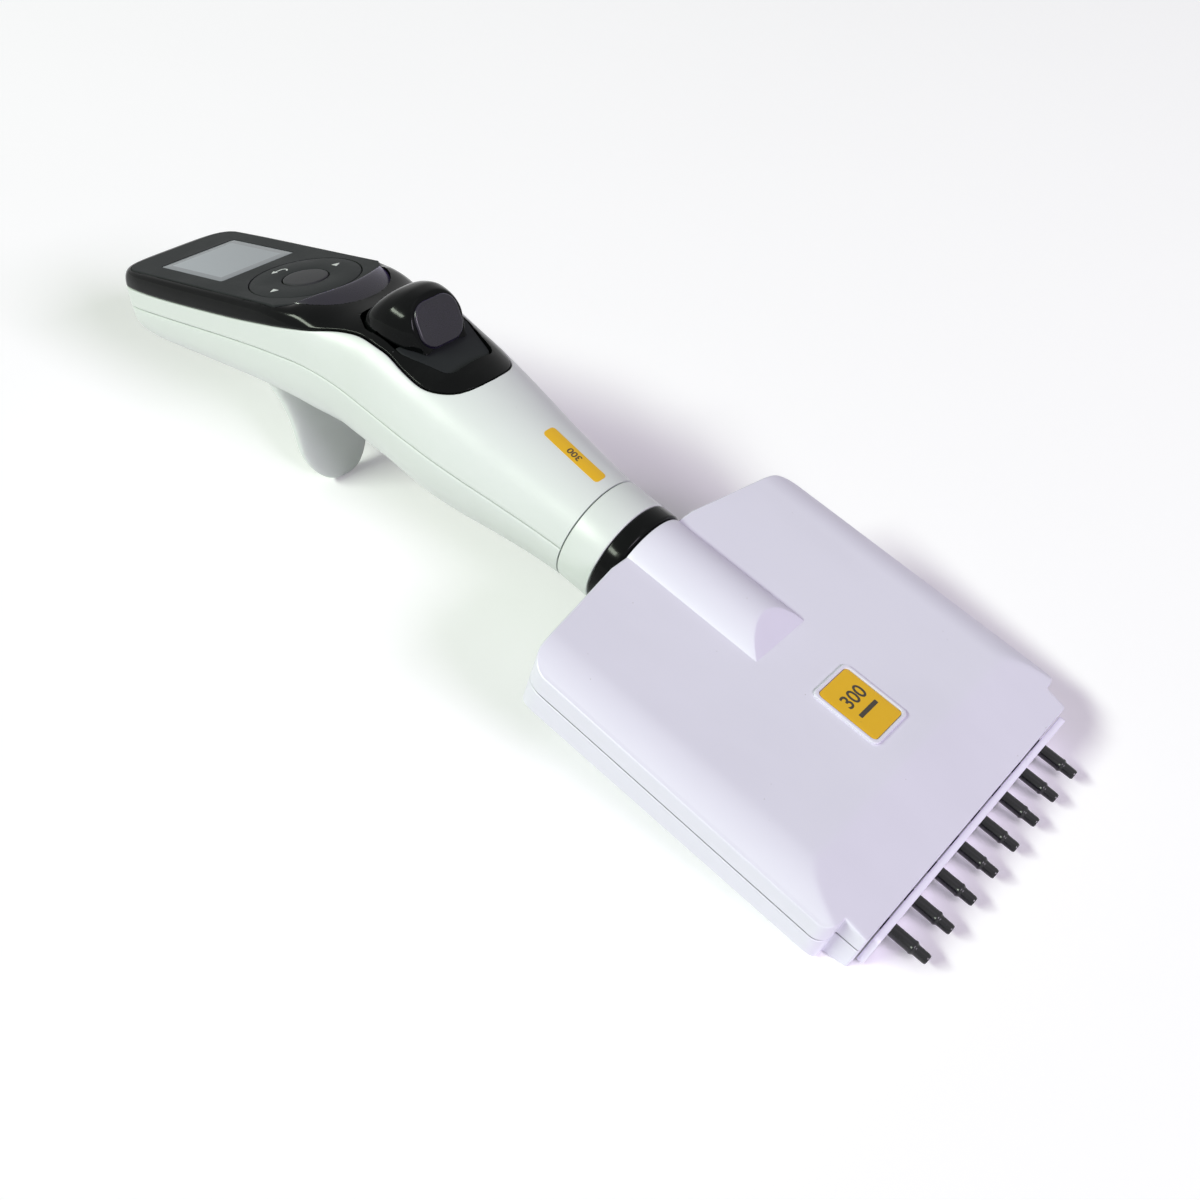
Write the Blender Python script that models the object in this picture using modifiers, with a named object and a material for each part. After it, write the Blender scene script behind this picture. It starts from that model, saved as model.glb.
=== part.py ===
"""Electronic multichannel pipette: eight tip fittings on a swivelling head.

Everything is drawn in the tool's own axes and hangs from one empty, tool_axis.
+X runs along the tool towards the tips, +Z is the display side, and X = 0 is the
end edge of the head covers on the plane of the tip fittings. The empty is then
tilted to the angle at which the real tool lies on a bench, on the facet at the end
of its head and on its finger hook.
"""

import math
from typing import NamedTuple

import bmesh
import bpy
from mathutils import Matrix, Vector

MM = 0.001

# Clearances, in millimetres as every size below
GAP = 0.3
RUNNING_GAP = 0.35

# Eight channels, whose outermost one sets the widths of the head
CHANNELS = 8
PITCH = 9.0
OUTER_CHANNEL = (CHANNELS - 1) / 2 * PITCH
ARM_INNER = OUTER_CHANNEL + 5.4
ARM_OUTER = ARM_INNER + 1.9
PLATE_HALF_WIDTH = ARM_OUTER + 0.5
NOTCH_HALF_WIDTH = PLATE_HALF_WIDTH + 2.1

# Head covers
HEAD_LENGTH = 87.1
HEAD_HALF_WIDTH = NOTCH_HALF_WIDTH + 4.6
SHOULDER_HALF_WIDTH = HEAD_HALF_WIDTH - 0.9
SHOULDER_SLOPE = 5.0
SHOULDER_RADIUS = 6.0
HEAD_TOP = 8.9
HEAD_WALL = 2.0
HEAD_SEAM = 1.1
ROLL_WIDTH = 10.0
FRONT_EDGE = 5.45
BACK_EDGE = -3.05
NOTCH_DEPTH = 5.5
END_HALF_HEIGHT = 5.15

# Swivel between head and handle
BOSS_RADIUS = 12.6
BOSS_LENGTH = 35.6
BOSS_FACET = 38.0
COLLAR_RADIUS = 12.95
COLLAR_LENGTH = 4.1
COLLAR_BACK = -HEAD_LENGTH - GAP - COLLAR_LENGTH
NECK_RADIUS = 9.6
NECK_LENGTH = 6.4
NECK_BORE = 6.2
RETAINER_LENGTH = 1.6
RETAINER_RADIUS = BOSS_RADIUS - HEAD_WALL - GAP
RING_RADIUS = 12.95
RING_LENGTH = 8.7
RING_SHELF = 1.9
RING_BACK = COLLAR_BACK - GAP - RING_LENGTH
SPIGOT_LENGTH = 4.5

# Handle housing, whose places along X are measured from its mouth
HANDLE_FRONT = RING_BACK - GAP
WALL = 2.0
PANEL_TILT = 25.2
WHEEL_X = HANDLE_FRONT - 96.7
WHEEL_Z = 4.05
CROWN = 1.9

# Display panel and its controls, on the panel's own axes
PANEL_HALF_WIDTH = 16.4
PANEL_FAR = 53.0
PANEL_CORNER = 5.5
PANEL_THICKNESS = 1.2
WELL_DEPTH = 9.0
LCD_FAR = 43.3
LCD_LENGTH = 25.2
LCD_HALF_WIDTH = 11.5
LCD_CORNER = 0.5
LCD_LEDGE = 1.0
LENS_THICKNESS = 0.9
RING_OUTER = 13.5
RING_PRESS = 0.4
OK_RADIUS = 5.5
OK_RISE = 0.2
OK_PRESS = 0.5
CONTROL_THICKNESS = 1.4
RUN_HALF_WIDTH = 13.4
RUN_TIP = 12.0
RUN_BLUNT = 0.8
RUN_RIDGE = 17.0
RUN_FRONT = 23.5
RUN_HEIGHT = 1.3
RUN_FALL = 2.9
RUN_DEPTH = 2.6

# What lies under the panel, on the same axes
BOARD_FAR = -46.0
BOARD_END = 19.0
BOARD_HALF_WIDTH = 13.2
BOARD_TOP = -5.6
BOARD_THICKNESS = 1.6
BATTERY_FAR = -39.0
BATTERY_LENGTH = 39.0
BATTERY_HALF_WIDTH = 10.5
BATTERY_DEPTH = 7.8
BATTERY_CORNER = 2.0
COVER_FAR = -46.0
COVER_LENGTH = 38.0
COVER_HALF_WIDTH = 12.0
COVER_CORNER = 3.0
COVER_SCREW_INSET = 4.0
COVER_SCREW_RADIUS = 1.2
COVER_SCREW_LENGTH = 5.6
COVER_SCREW_HEAD = -20.6

# Tip eject lever
EJECT_STROKE = 6.5
LEVER_BACK = HANDLE_FRONT - 70.2
LEVER_FRONT = HANDLE_FRONT - 49.6
LEVER_HALF_WIDTH = 10.4
LEVER_PEAK = 25.3
LEVER_BASE = 13.4
STEM_HALF_WIDTH = 4.6
TRACK_BACK = HANDLE_FRONT - 56.6
TRACK_END = HANDLE_FRONT - 42.6
TRACK_HALF_WIDTH = 7.2
TRACK_FLOOR = 15.6
TRACK_THICKNESS = 1.5
SLIDER_TOP = 10.2
SLIDER_THICKNESS = 1.4
SLIDER_HALF_WIDTH = 6.0
SLIDER_BACK = HANDLE_FRONT - 74.2
SLIDER_FOOT = 3.0
PAD_TILT = 49.0
PAD_LENGTH = 10.6
PAD_WIDTH = 13.0
PAD_THICKNESS = 1.6
PAD_SEAT = 1.0
PAD_CORNER = 4.0
PAD_X = HANDLE_FRONT - 54.6
PAD_Z = 20.3

# Coaxial drive in the handle
MOTOR_RADIUS = 8.2
MOTOR_FRONT = HANDLE_FRONT - 38.2
MOTOR_LENGTH = 26.0
MOTOR_BOSS = 3.0
MOTOR_BOSS_LENGTH = 1.0
CRADLE_RADIUS = 15.0
SCREW_RADIUS = 1.25
SCREW_LENGTH = 33.0
ROD_RADIUS = 2.45
ROD_BORE = 1.6
ROD_NECK = 1.55
ROD_BACK = HANDLE_FRONT - 23.2
SLEEVE_RADIUS = 4.9
SLEEVE_BACK = HANDLE_FRONT - 32.2
FLANGE_RADIUS = 7.8
FLANGE_X = HANDLE_FRONT - 13.2
FLANGE_THICKNESS = 1.2
SPRING_WIRE = 0.8
SPRING_TURNS = 4.5
SPRING_POINTS = 10
STROKE = 13.0

# Inside the head, from the end where the tool is held
EJECT_CROSSHEAD_X = 12.1 - HEAD_LENGTH
EJECT_CROSSHEAD_THICKNESS = 3.4
GUIDE_END = EJECT_CROSSHEAD_X + EJECT_CROSSHEAD_THICKNESS + EJECT_STROKE + 0.7
CROSSHEAD_X = GUIDE_END + STROKE + 1.4
CROSSHEAD_THICKNESS = 4.0
CROSSHEAD_HALF_WIDTH = OUTER_CHANNEL + 3.5
CROSSHEAD_HALF_HEIGHT = 3.6
BLOCK_BACK = CROSSHEAD_X + CROSSHEAD_THICKNESS + 10.0
BLOCK_SHOULDER = -17.5
BLOCK_TAPER = -3.4
BLOCK_FRONT = -0.9
NOSE_HALF_HEIGHT = 2.8
BORE_RADIUS = 2.0
PISTON_RADIUS = 1.75
PISTON_TIP = -8.0
PISTON_STEM = 0.9
PISTON_HEAD = 1.6
SEAL_THICKNESS = 2.4
HUB_WALL = 0.6
ARM_HALF_HEIGHT = 2.2
GUIDE_RADIUS = 1.4
GUIDE_Y = 2 * PITCH
GUIDE_SEAT = 7.0
POST_RADIUS = 2.0
POST_Y = HEAD_HALF_WIDTH - 4.4
POST_STATIONS = (-24.0, 17.1 - HEAD_LENGTH)
POST_HOLE = 1.2
HEAD_SCREW_RADIUS = 0.9
HEAD_SCREW_END = -5.1
HEAD_SCREW_TOP = 3.9

# Tip fittings and the plate that strips the tips from them
PLATE_THICKNESS = 1.5
PLATE_HALF_HEIGHT = 4.4
PLATE_HOLE = 1.75
SLOT_HALF_HEIGHT = 3.1
FITTING_LENGTH = 10.3
FITTING_RADIUS = 1.4
FITTING_TIP_RADIUS = 1.15
FITTING_STEP = 7.1
FITTING_BORE = 0.55
FITTING_FLANGE = 2.1
FITTING_SEAT = -5.7
FITTING_SHOULDER = -1.2

# Number plate on the head and volume plate on the handle
FRAME_FAR = 48.0 - HEAD_LENGTH
FRAME_LENGTH = 16.6
FRAME_HALF_WIDTH = 6.35
FRAME_CORNER = 1.4
FRAME_HEIGHT = 0.5
FRAME_SEAT = 0.6
INSERT_MARGIN = 0.8
INSERT_DROP = 0.15
LABEL_FAR = HANDLE_FRONT - 19.2
LABEL_LENGTH = 16.6
LABEL_HALF_WIDTH = 1.8
LABEL_CORNER = 1.5
LABEL_THICKNESS = 0.7

# Finger hook and charging contacts on the back shell
HOOK_LEAN = 0.55
HOOK_ROOT_X = HANDLE_FRONT - 84.4
HOOK_ROOT_Z = -30.0
HOOK_BOTTOM = -45.6
HOOK_HALF_WIDTH = 10.8
HOOK_THICKNESS = 4.4
HOOK_ROUNDING = 1.4
CONTACT_PLACES = (HANDLE_FRONT - 57.2, HANDLE_FRONT - 51.2)
CONTACT_LENGTH = 3.0
CONTACT_HALF_WIDTH = 2.5
CONTACT_CORNER = 0.8

# Facets
HANDLE_STEPS = 26
HOLLOW_STEPS = 18
ROUND_STEPS = 24
SMALL_STEPS = 12
BORE_STEPS = 8
DOME_STEPS = 12
CORNER_STEP = 30.0

HOUSING_WHITE = (0.80, 0.80, 0.84)
GLOSS_BLACK = (0.008, 0.008, 0.009)
MATTE_GREY = (0.06, 0.064, 0.066)


def clear_scene():
    """Remove every object, material and collection that the file opens with."""
    for item in list(bpy.data.objects):
        bpy.data.objects.remove(item, do_unlink=True)
    for collection in list(bpy.data.collections):
        bpy.data.collections.remove(collection)


def new_collection(name):
    """Return a new collection linked to the scene."""
    collection = bpy.data.collections.new(name)
    bpy.context.scene.collection.children.link(collection)
    return collection


def finish(name, colour, roughness, metallic=0.0):
    """Return a Principled material."""
    material = bpy.data.materials.new(name)
    material.use_nodes = True
    shader = material.node_tree.nodes["Principled BSDF"]
    shader.inputs["Base Color"].default_value = (*colour, 1.0)
    shader.inputs["Roughness"].default_value = roughness
    shader.inputs["Metallic"].default_value = metallic
    material.diffuse_color = (*colour, 1.0)
    return material


class Workshop:
    """The two collections and the axes that every piece is placed in."""

    def __init__(self):
        self.parts = new_collection("multichannel_pipette")
        self.cutters = new_collection("cutters")
        self.tool = self.empty("tool_axis")
        self.panel = self.empty("panel_axes", self.tool)
        self.panel.location = (WHEEL_X * MM, 0, WHEEL_Z * MM)
        self.panel.rotation_euler = (0, -math.radians(PANEL_TILT), 0)

    def empty(self, name, parent=None):
        """Return an empty that carries axes."""
        item = bpy.data.objects.new(name, None)
        item.parent = parent
        self.cutters.objects.link(item)
        return item

    def add(self, name, mesh, material, parent=None):
        """Link a piece and parent it to its axes."""
        item = bpy.data.objects.new(name, mesh)
        item.parent = parent or self.tool
        self.parts.objects.link(item)
        if material is not None:
            mesh.materials.clear()
            mesh.materials.append(material)
        return item

    def cutter(self, name, mesh, parent=None):
        """Link a cutter, which is left out of the render."""
        item = bpy.data.objects.new(name, mesh)
        item.parent = parent or self.tool
        item.hide_render = True
        item.display_type = 'WIRE'
        self.cutters.objects.link(item)
        return item


def boolean(item, other, operation):
    """Put an exact Boolean modifier on a piece."""
    modifier = item.modifiers.new(operation.title(), 'BOOLEAN')
    modifier.operation = operation
    modifier.solver = 'EXACT'
    modifier.object = other
    return modifier


def bevel(item, width, segments=2, angle=35.0):
    """Round the edges that are sharper than an angle."""
    modifier = item.modifiers.new("Rounding", 'BEVEL')
    modifier.width = width * MM
    modifier.segments = segments
    modifier.limit_method = 'ANGLE'
    modifier.angle_limit = math.radians(angle)
    modifier.harden_normals = False
    return modifier


def mesh_from(bm, name):
    """Turn a bmesh into a mesh whose faces point out."""
    bmesh.ops.recalc_face_normals(bm, faces=bm.faces)
    mesh = bpy.data.meshes.new(name)
    bm.to_mesh(mesh)
    bm.free()
    mesh.shade_smooth()
    mesh.set_sharp_from_angle(angle=math.radians(30))
    return mesh


def block(name, low, high):
    """A box between two corners, in millimetres."""
    bm = bmesh.new()
    bmesh.ops.create_cube(bm, size=1.0)
    size = [(h - l) * MM for l, h in zip(low, high)]
    middle = [(h + l) / 2 * MM for l, h in zip(low, high)]
    bmesh.ops.scale(bm, vec=size, verts=bm.verts)
    bmesh.ops.translate(bm, vec=middle, verts=bm.verts)
    return mesh_from(bm, name)


def rod(name, radius, start, end, centre=(0.0, 0.0), steps=SMALL_STEPS):
    """A cylinder along X from start to end, centred on (y, z)."""
    bm = bmesh.new()
    bmesh.ops.create_cone(bm, cap_ends=True, segments=steps, radius1=radius * MM,
                          radius2=radius * MM, depth=(end - start) * MM)
    bmesh.ops.rotate(bm, matrix=Matrix.Rotation(math.pi / 2, 3, 'Y'), verts=bm.verts)
    place = ((start + end) / 2 * MM, centre[0] * MM, centre[1] * MM)
    bmesh.ops.translate(bm, vec=place, verts=bm.verts)
    return mesh_from(bm, name)


def post(name, radius, low, high, centre, steps=SMALL_STEPS):
    """A cylinder along Z from low to high, centred on (x, y)."""
    bm = bmesh.new()
    bmesh.ops.create_cone(bm, cap_ends=True, segments=steps, radius1=radius * MM,
                          radius2=radius * MM, depth=(high - low) * MM)
    place = (centre[0] * MM, centre[1] * MM, (low + high) / 2 * MM)
    bmesh.ops.translate(bm, vec=place, verts=bm.verts)
    return mesh_from(bm, name)


def turned(shop, name, profile, material, parent=None, steps=ROUND_STEPS):
    """A piece turned about the X axis from (x, radius) points.

    The profile is drawn on the XZ plane of an object whose Z lies along the tool,
    and runs down its outer side from the end nearest the tips.
    """
    points = [Vector((radius * MM, 0, x * MM)) for x, radius in profile]
    bm = bmesh.new()
    verts = [bm.verts.new(p) for p in points]
    for first, second in zip(verts, verts[1:]):
        bm.edges.new((first, second))
    if profile[0][1] > 0:
        bm.edges.new((verts[-1], verts[0]))
    mesh = bpy.data.meshes.new(name)
    bm.to_mesh(mesh)
    bm.free()
    item = shop.add(name, mesh, material, parent)
    item.rotation_euler = (0, math.pi / 2, 0)
    screw = item.modifiers.new("Turned", 'SCREW')
    screw.angle = 2 * math.pi
    screw.steps = steps
    screw.render_steps = steps
    screw.use_merge_vertices = True
    screw.merge_threshold = 0.000001
    screw.use_smooth_shade = True
    return item


def rounded(corners):
    """Points of an outline from (u, v, radius) corners, with arcs at the corners."""
    points = []
    count = len(corners)
    for i, (u, v, radius) in enumerate(corners):
        here = Vector((u, v))
        if radius <= 0:
            points.append((u, v))
            continue
        before = Vector(corners[i - 1][:2]) - here
        after = Vector(corners[(i + 1) % count][:2]) - here
        half = before.angle(after) / 2
        reach = radius / math.tan(half)
        first = here + before.normalized() * reach
        last = here + after.normalized() * reach
        bisector = (before.normalized() + after.normalized()).normalized()
        centre = here + bisector * radius / math.sin(half)
        start = math.atan2(first.y - centre.y, first.x - centre.x)
        sweep = math.atan2(last.y - centre.y, last.x - centre.x) - start
        sweep = (sweep + math.pi) % (2 * math.pi) - math.pi
        steps = max(2, round(abs(sweep) / math.radians(CORNER_STEP)))
        for step in range(steps + 1):
            angle = start + sweep * step / steps
            points.append((centre.x + radius * math.cos(angle), centre.y + radius * math.sin(angle)))
    return points


def smooth_line(points, parts=4):
    """Points on a curve through the given ones, by Catmull and Rom's formula."""
    line = []
    padded = [points[0], *points, points[-1]]
    for p0, p1, p2, p3 in zip(padded, padded[1:], padded[2:], padded[3:]):
        for step in range(parts):
            t = step / parts
            line.append(tuple(
                0.5 * (2 * b + (c - a) * t + (2 * a - 5 * b + 4 * c - d) * t * t
                       + (3 * b - a - 3 * c + d) * t ** 3)
                for a, b, c, d in zip(p0, p1, p2, p3)))
    line.append(tuple(points[-1]))
    return line


def arc(centre, radius, start, end, steps):
    """Points on an arc between two angles in degrees."""
    angles = [math.radians(start + (end - start) * i / steps) for i in range(steps + 1)]
    return [(centre[0] + radius * math.cos(a), centre[1] + radius * math.sin(a)) for a in angles]


def welded_curve(curve):
    """Turn a curve into a bmesh whose caps are welded, and remove the curve."""
    carrier = bpy.data.objects.new(curve.name, curve)
    bpy.context.scene.collection.objects.link(carrier)
    evaluated = carrier.evaluated_get(bpy.context.evaluated_depsgraph_get())
    mesh = bpy.data.meshes.new_from_object(evaluated)
    bpy.data.objects.remove(carrier, do_unlink=True)
    bpy.data.curves.remove(curve)
    bm = bmesh.new()
    bm.from_mesh(mesh)
    bpy.data.meshes.remove(mesh)
    bmesh.ops.remove_doubles(bm, verts=bm.verts, dist=1e-6)
    return bm


def plate(name, outline, low, high, plane='XY', holes=()):
    """A flat outline extruded between two heights.

    The outline lies on the XY plane, or on the XZ plane and is then extruded along Y,
    or on the YZ plane and is then extruded along X.
    """
    curve = bpy.data.curves.new(name, 'CURVE')
    curve.dimensions = '2D'
    curve.fill_mode = 'BOTH'
    curve.extrude = (high - low) / 2 * MM
    for loop in (outline, *holes):
        spline = curve.splines.new('POLY')
        spline.points.add(len(loop) - 1)
        for point, (u, v) in zip(spline.points, loop):
            point.co = (u * MM, v * MM, 0, 1)
        spline.use_cyclic_u = True
    bm = welded_curve(curve)
    bmesh.ops.translate(bm, vec=(0, 0, (low + high) / 2 * MM), verts=bm.verts)
    turns = {
        'XY': Matrix.Identity(3),
        'XZ': Matrix(((1, 0, 0), (0, 0, 1), (0, 1, 0))),
        'YZ': Matrix(((0, 0, 1), (1, 0, 0), (0, 1, 0))),
    }
    bmesh.ops.transform(bm, matrix=turns[plane].to_4x4(), verts=bm.verts)
    return mesh_from(bm, name)


def skin(name, rings):
    """A closed loft through rings of points, each given in millimetres."""
    bm = bmesh.new()
    loops = [[bm.verts.new(Vector(p) * MM) for p in ring] for ring in rings]
    for first, second in zip(loops, loops[1:]):
        for i, vert in enumerate(first):
            j = (i + 1) % len(first)
            bm.faces.new((vert, first[j], second[j], second[i]))
    bm.faces.new(loops[0])
    bm.faces.new(loops[-1])
    return mesh_from(bm, name)


def bow(value, power):
    """A sine or cosine raised to the power that squares off a section."""
    return math.copysign(abs(value) ** power, value)


class Station(NamedTuple):
    """One section of the handle: its top point, its lean and its squared ellipse."""

    x: float
    z: float
    lean: float
    depth: float
    half_width: float
    upper: float
    lower: float
    roof: float


def section(station, inset, roof, steps):
    """One ring of the handle, on a plane that leans with the panel.

    The ring stands in by the inset at its sides and bottom, and by the roof at its
    top. Its upper and lower halves are squared off by exponents of their own.
    """
    lean = math.radians(station.lean)
    down = Vector((math.sin(lean), 0, -math.cos(lean)))
    half_depth = (station.depth - roof - inset) / 2
    middle = Vector((station.x, 0, station.z)) + down * (roof + half_depth)
    ring = []
    for i in range(steps):
        angle = 2 * math.pi * i / steps
        squareness = 2 / (station.upper if math.sin(angle) >= 0 else station.lower)
        across = (station.half_width - inset) * bow(math.cos(angle), squareness)
        up = half_depth * bow(math.sin(angle), squareness)
        ring.append(middle - down * up + Vector((0, across, 0)))
    return ring


def panel_point(along, height=0.0):
    """Tool coordinates (x, z) of a point on the panel's axes."""
    lean = math.radians(PANEL_TILT)
    return (WHEEL_X + along * math.cos(lean) - height * math.sin(lean),
            WHEEL_Z + along * math.sin(lean) + height * math.cos(lean))


def handle_stations():
    """The stations of the handle, from its mouth to the far end of the display.

    Those of the grip are measured back from the mouth, and those of the display lie
    along the panel.
    """
    grip = [
        (0.0, RING_RADIUS, 0, 2 * RING_RADIUS, RING_RADIUS, 2.0, 2.0),
        (7.2, 13.6, 0, 27.2, 13.6, 2.0, 2.0),
        (18.2, 14.8, 0, 30.0, 15.0, 2.0, 2.0),
        (29.2, 16.2, 0, 33.2, 16.5, 2.05, 2.05),
        (39.2, 17.2, 0, 34.9, 17.4, 2.15, 2.1),
        (49.2, 17.8, 0, 35.2, 17.7, 2.3, 2.1),
        (59.2, 17.8, 3, 35.2, 17.7, 2.6, 2.2),
        (67.2, 15.9, 9, 33.5, 17.7, 2.9, 2.2),
        (74.2, 13.6, 16, 31.5, 17.8, 3.4, 2.3),
    ]
    display = [
        (16.5, 0.7, 21.5, 31.4, 18.1, 4.6, 2.4),
        (6.0, CROWN, PANEL_TILT, 29.8, 18.5, 5.6, 2.6),
        (-8.0, CROWN, PANEL_TILT, 27.0, 18.6, 6.0, 2.8),
        (-27.0, CROWN, PANEL_TILT, 24.6, 18.6, 6.0, 3.0),
        (-44.0, CROWN, PANEL_TILT, 23.0, 18.4, 6.0, 3.0),
        (-50.5, CROWN - 0.2, PANEL_TILT, 21.8, 17.8, 5.6, 3.0),
        (-54.0, 0.6, PANEL_TILT, 19.4, 16.0, 5.0, 2.8),
        (-56.0, -1.4, PANEL_TILT, 15.6, 13.0, 4.5, 2.6),
        (-56.8, -3.4, PANEL_TILT, 11.4, 9.8, 4.0, 2.4),
    ]
    stations = [Station(HANDLE_FRONT - behind, *form, WALL) for behind, *form in grip]
    for along, height, *form in display:
        roof = WALL + PANEL_THICKNESS + height
        stations.append(Station(*panel_point(along, height), *form, roof))
    return stations


def handle_skin(name, inset=0.0):
    """The handle's loft, or a loft that lies a small depth inside it."""
    return skin(name, [section(s, inset, inset, HANDLE_STEPS) for s in handle_stations()])


def handle_hollow(name):
    """The space inside the handle's wall and roof, clear of both ends."""
    first, *others = handle_stations()[:-2]
    first = first._replace(x=first.x + 2 * WALL)
    return skin(name, [section(s, WALL, s.roof, HOLLOW_STEPS) for s in (first, *others)])


def side_line(display, grip):
    """Side view of a parting line: points on the panel's axes, then on the grip."""
    points = [panel_point(along, height) for along, height in display]
    points += [(HANDLE_FRONT - behind, z) for behind, z in grip]
    return smooth_line(points, 2)


def seam_line():
    """Seam between the white shells, from the far end to beyond the mouth."""
    return side_line(
        [(-78.0, -9.4), (-51.5, -9.6), (-28.5, -10.1), (-7.8, -10.7), (5.1, -11.5), (15.5, -12.8)],
        [(67.2, 0.8), (57.2, 1.3), (39.2, 1.5), (-6.0, 1.5)])


def bezel_line():
    """Lower edge of the black bezel, which ends above the grip."""
    return side_line(
        [(-75.7, -4.7), (-53.5, -4.5), (-36.1, -5.0), (-11.1, -5.0), (6.2, -4.5), (16.6, -4.1)],
        [(70.9, 11.9), (64.5, 14.0), (58.1, 14.6), (51.2, 13.7), (45.2, 13.4), (40.0, 14.6),
         (36.8, 16.4), (35.2, 19.0), (34.4, 26.0)])


def beside(line, amount):
    """A line moved sideways by an amount, to the left of its direction."""
    moved = []
    for i, (x, z) in enumerate(line):
        ahead = line[min(i + 1, len(line) - 1)]
        behind = line[max(i - 1, 0)]
        way = Vector((ahead[0] - behind[0], ahead[1] - behind[1])).normalized()
        moved.append((x - way.y * amount, z + way.x * amount))
    return moved


def hook_spine(z):
    """X of the middle of the finger hook's tongue at a height."""
    return HOOK_ROOT_X - HOOK_LEAN * (z - HOOK_ROOT_Z)


def rest_tilt():
    """Angle at which the head's end facet and the hook's tip touch one plane."""
    tip_radius = HOOK_THICKNESS / 2
    x = hook_spine(HOOK_BOTTOM + tip_radius)
    angle = 0.0
    for _ in range(10):
        drop = END_HALF_HEIGHT + HOOK_BOTTOM + tip_radius - tip_radius / math.cos(angle)
        angle = math.atan(drop / x)
    return angle


def circle(radius, centre=(0.0, 0.0), steps=ROUND_STEPS):
    """Points on a full circle."""
    return arc(centre, radius, 0, 360 - 360 / steps, steps - 1)


def box_outline(low, high, radius):
    """A rectangle between two corners with rounded corners."""
    (u0, v0), (u1, v1) = low, high
    return rounded([(u0, v0, radius), (u1, v0, radius), (u1, v1, radius), (u0, v1, radius)])


def channel_places():
    """Y of each channel."""
    return [(i - (CHANNELS - 1) / 2) * PITCH for i in range(CHANNELS)]


def slab(shop, name, low, high, parent=None):
    """A box that serves as a cutter."""
    return shop.cutter(name, block(name, low, high), parent)


def zone(shop, name, outline, low=-40.0, high=40.0, plane='XZ', parent=None):
    """An extruded outline that serves as a cutter."""
    return shop.cutter(name, plate(name, outline, low, high, plane), parent)


def finger_hook(shop):
    """The tongue of the hook: its side view extruded, and trimmed to its front view."""
    half = HOOK_THICKNESS / 2
    flares = {-14: 9.0, -20: 4.6, -26: 1.6, -32: 0.2, -38: 0.0}
    front = [(hook_spine(z) + half + 0.55 * flare, z) for z, flare in flares.items()]
    back = [(hook_spine(z) - half - flare, z) for z, flare in flares.items()]
    tip_z = HOOK_BOTTOM + half
    slope = math.degrees(math.atan(HOOK_LEAN))
    tip = arc((hook_spine(tip_z), tip_z), half, -180 + slope, slope, 6)
    side = smooth_line(back, 3) + tip + smooth_line(front[::-1], 3)
    hook = shop.cutter("hook_tongue", plate("hook_tongue", side, -26, 26, 'XZ'))
    low = HOOK_BOTTOM + HOOK_HALF_WIDTH
    flares = {low: 0.0, -30: 0.4, -25: 1.6, -20: 4.0, -14: 5.7}
    right = smooth_line([(HOOK_HALF_WIDTH + flare, z) for z, flare in flares.items()], 2)
    left = [(-y, z) for y, z in right[::-1]]
    outline = left + arc((0, low), HOOK_HALF_WIDTH, 180, 360, 12)[1:-1] + right
    reach = HOOK_HALF_WIDTH + 4 * HOOK_THICKNESS
    front_view = zone(shop, "hook_front", outline, HOOK_ROOT_X - reach, HOOK_ROOT_X + reach, 'YZ')
    boolean(hook, front_view, 'INTERSECT')
    bevel(hook, HOOK_ROUNDING, 2, 40)
    return hook


def build_housing(shop, looks):
    """Front shell, back shell with its hook, and the black bezel, cut from one loft."""
    hollow = shop.cutter("housing_hollow", handle_hollow("housing_hollow"))
    seam = seam_line()
    edge = bezel_line()
    half = GAP / 2
    sky = LEVER_PEAK + 5
    ground = HOOK_BOTTOM - 25
    mouth = seam[-1][0]

    front = shop.add("front_shell", handle_skin("front_shell"), looks["white"])
    over_edge = [(mouth, sky), (edge[-1][0] + 4, sky)]
    band = beside(seam, half) + over_edge + beside(edge, -half)[::-1]
    boolean(front, zone(shop, "front_band", band), 'INTERSECT')
    boolean(front, hollow, 'DIFFERENCE')

    back = shop.add("back_shell", handle_skin("back_shell"), looks["white"])
    boolean(back, finger_hook(shop), 'UNION')
    band = beside(seam, -half) + [(mouth, ground), (seam[0][0], ground)]
    boolean(back, zone(shop, "back_band", band), 'INTERSECT')
    boolean(back, hollow, 'DIFFERENCE')

    bezel = shop.add("control_bezel", handle_skin("control_bezel"), looks["black"])
    band = beside(edge, half) + [(edge[-1][0], sky), (edge[0][0], sky)]
    boolean(bezel, zone(shop, "bezel_band", band), 'INTERSECT')
    boolean(bezel, hollow, 'DIFFERENCE')
    low = (-PANEL_FAR - 8, -24, 0)
    high = (RUN_TIP + GAP / 2, 24, 6 * CROWN)
    boolean(bezel, slab(shop, "panel_flat", low, high, shop.panel), 'DIFFERENCE')
    return front, back, bezel


def chord_radius(rise):
    """Radius of an arc over the run button's width, from its rise."""
    return (rise ** 2 + RUN_HALF_WIDTH ** 2) / (2 * rise)


def ridge_arc(margin, half_chord, steps):
    """Arc along the run button's ridge, moved outwards by a margin."""
    radius = chord_radius(RUN_RIDGE - RUN_TIP)
    reach = math.degrees(math.asin(half_chord / (radius + margin)))
    return arc((RUN_RIDGE - radius, 0), radius + margin, -reach, reach, steps)


def panel_outline(margin):
    """Outline of the display panel on its own axes, grown by a margin."""
    wide = PANEL_HALF_WIDTH + margin
    far = -PANEL_FAR - margin
    near = RUN_TIP - 4
    ridge = ridge_arc(margin - GAP, RUN_HALF_WIDTH, 10)
    ends = rounded([(far, wide, PANEL_CORNER), (far, -wide, PANEL_CORNER), (near, -wide, 0),
                    (near, wide, 0)])
    return ends[:-1] + ridge + ends[-1:]


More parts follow.
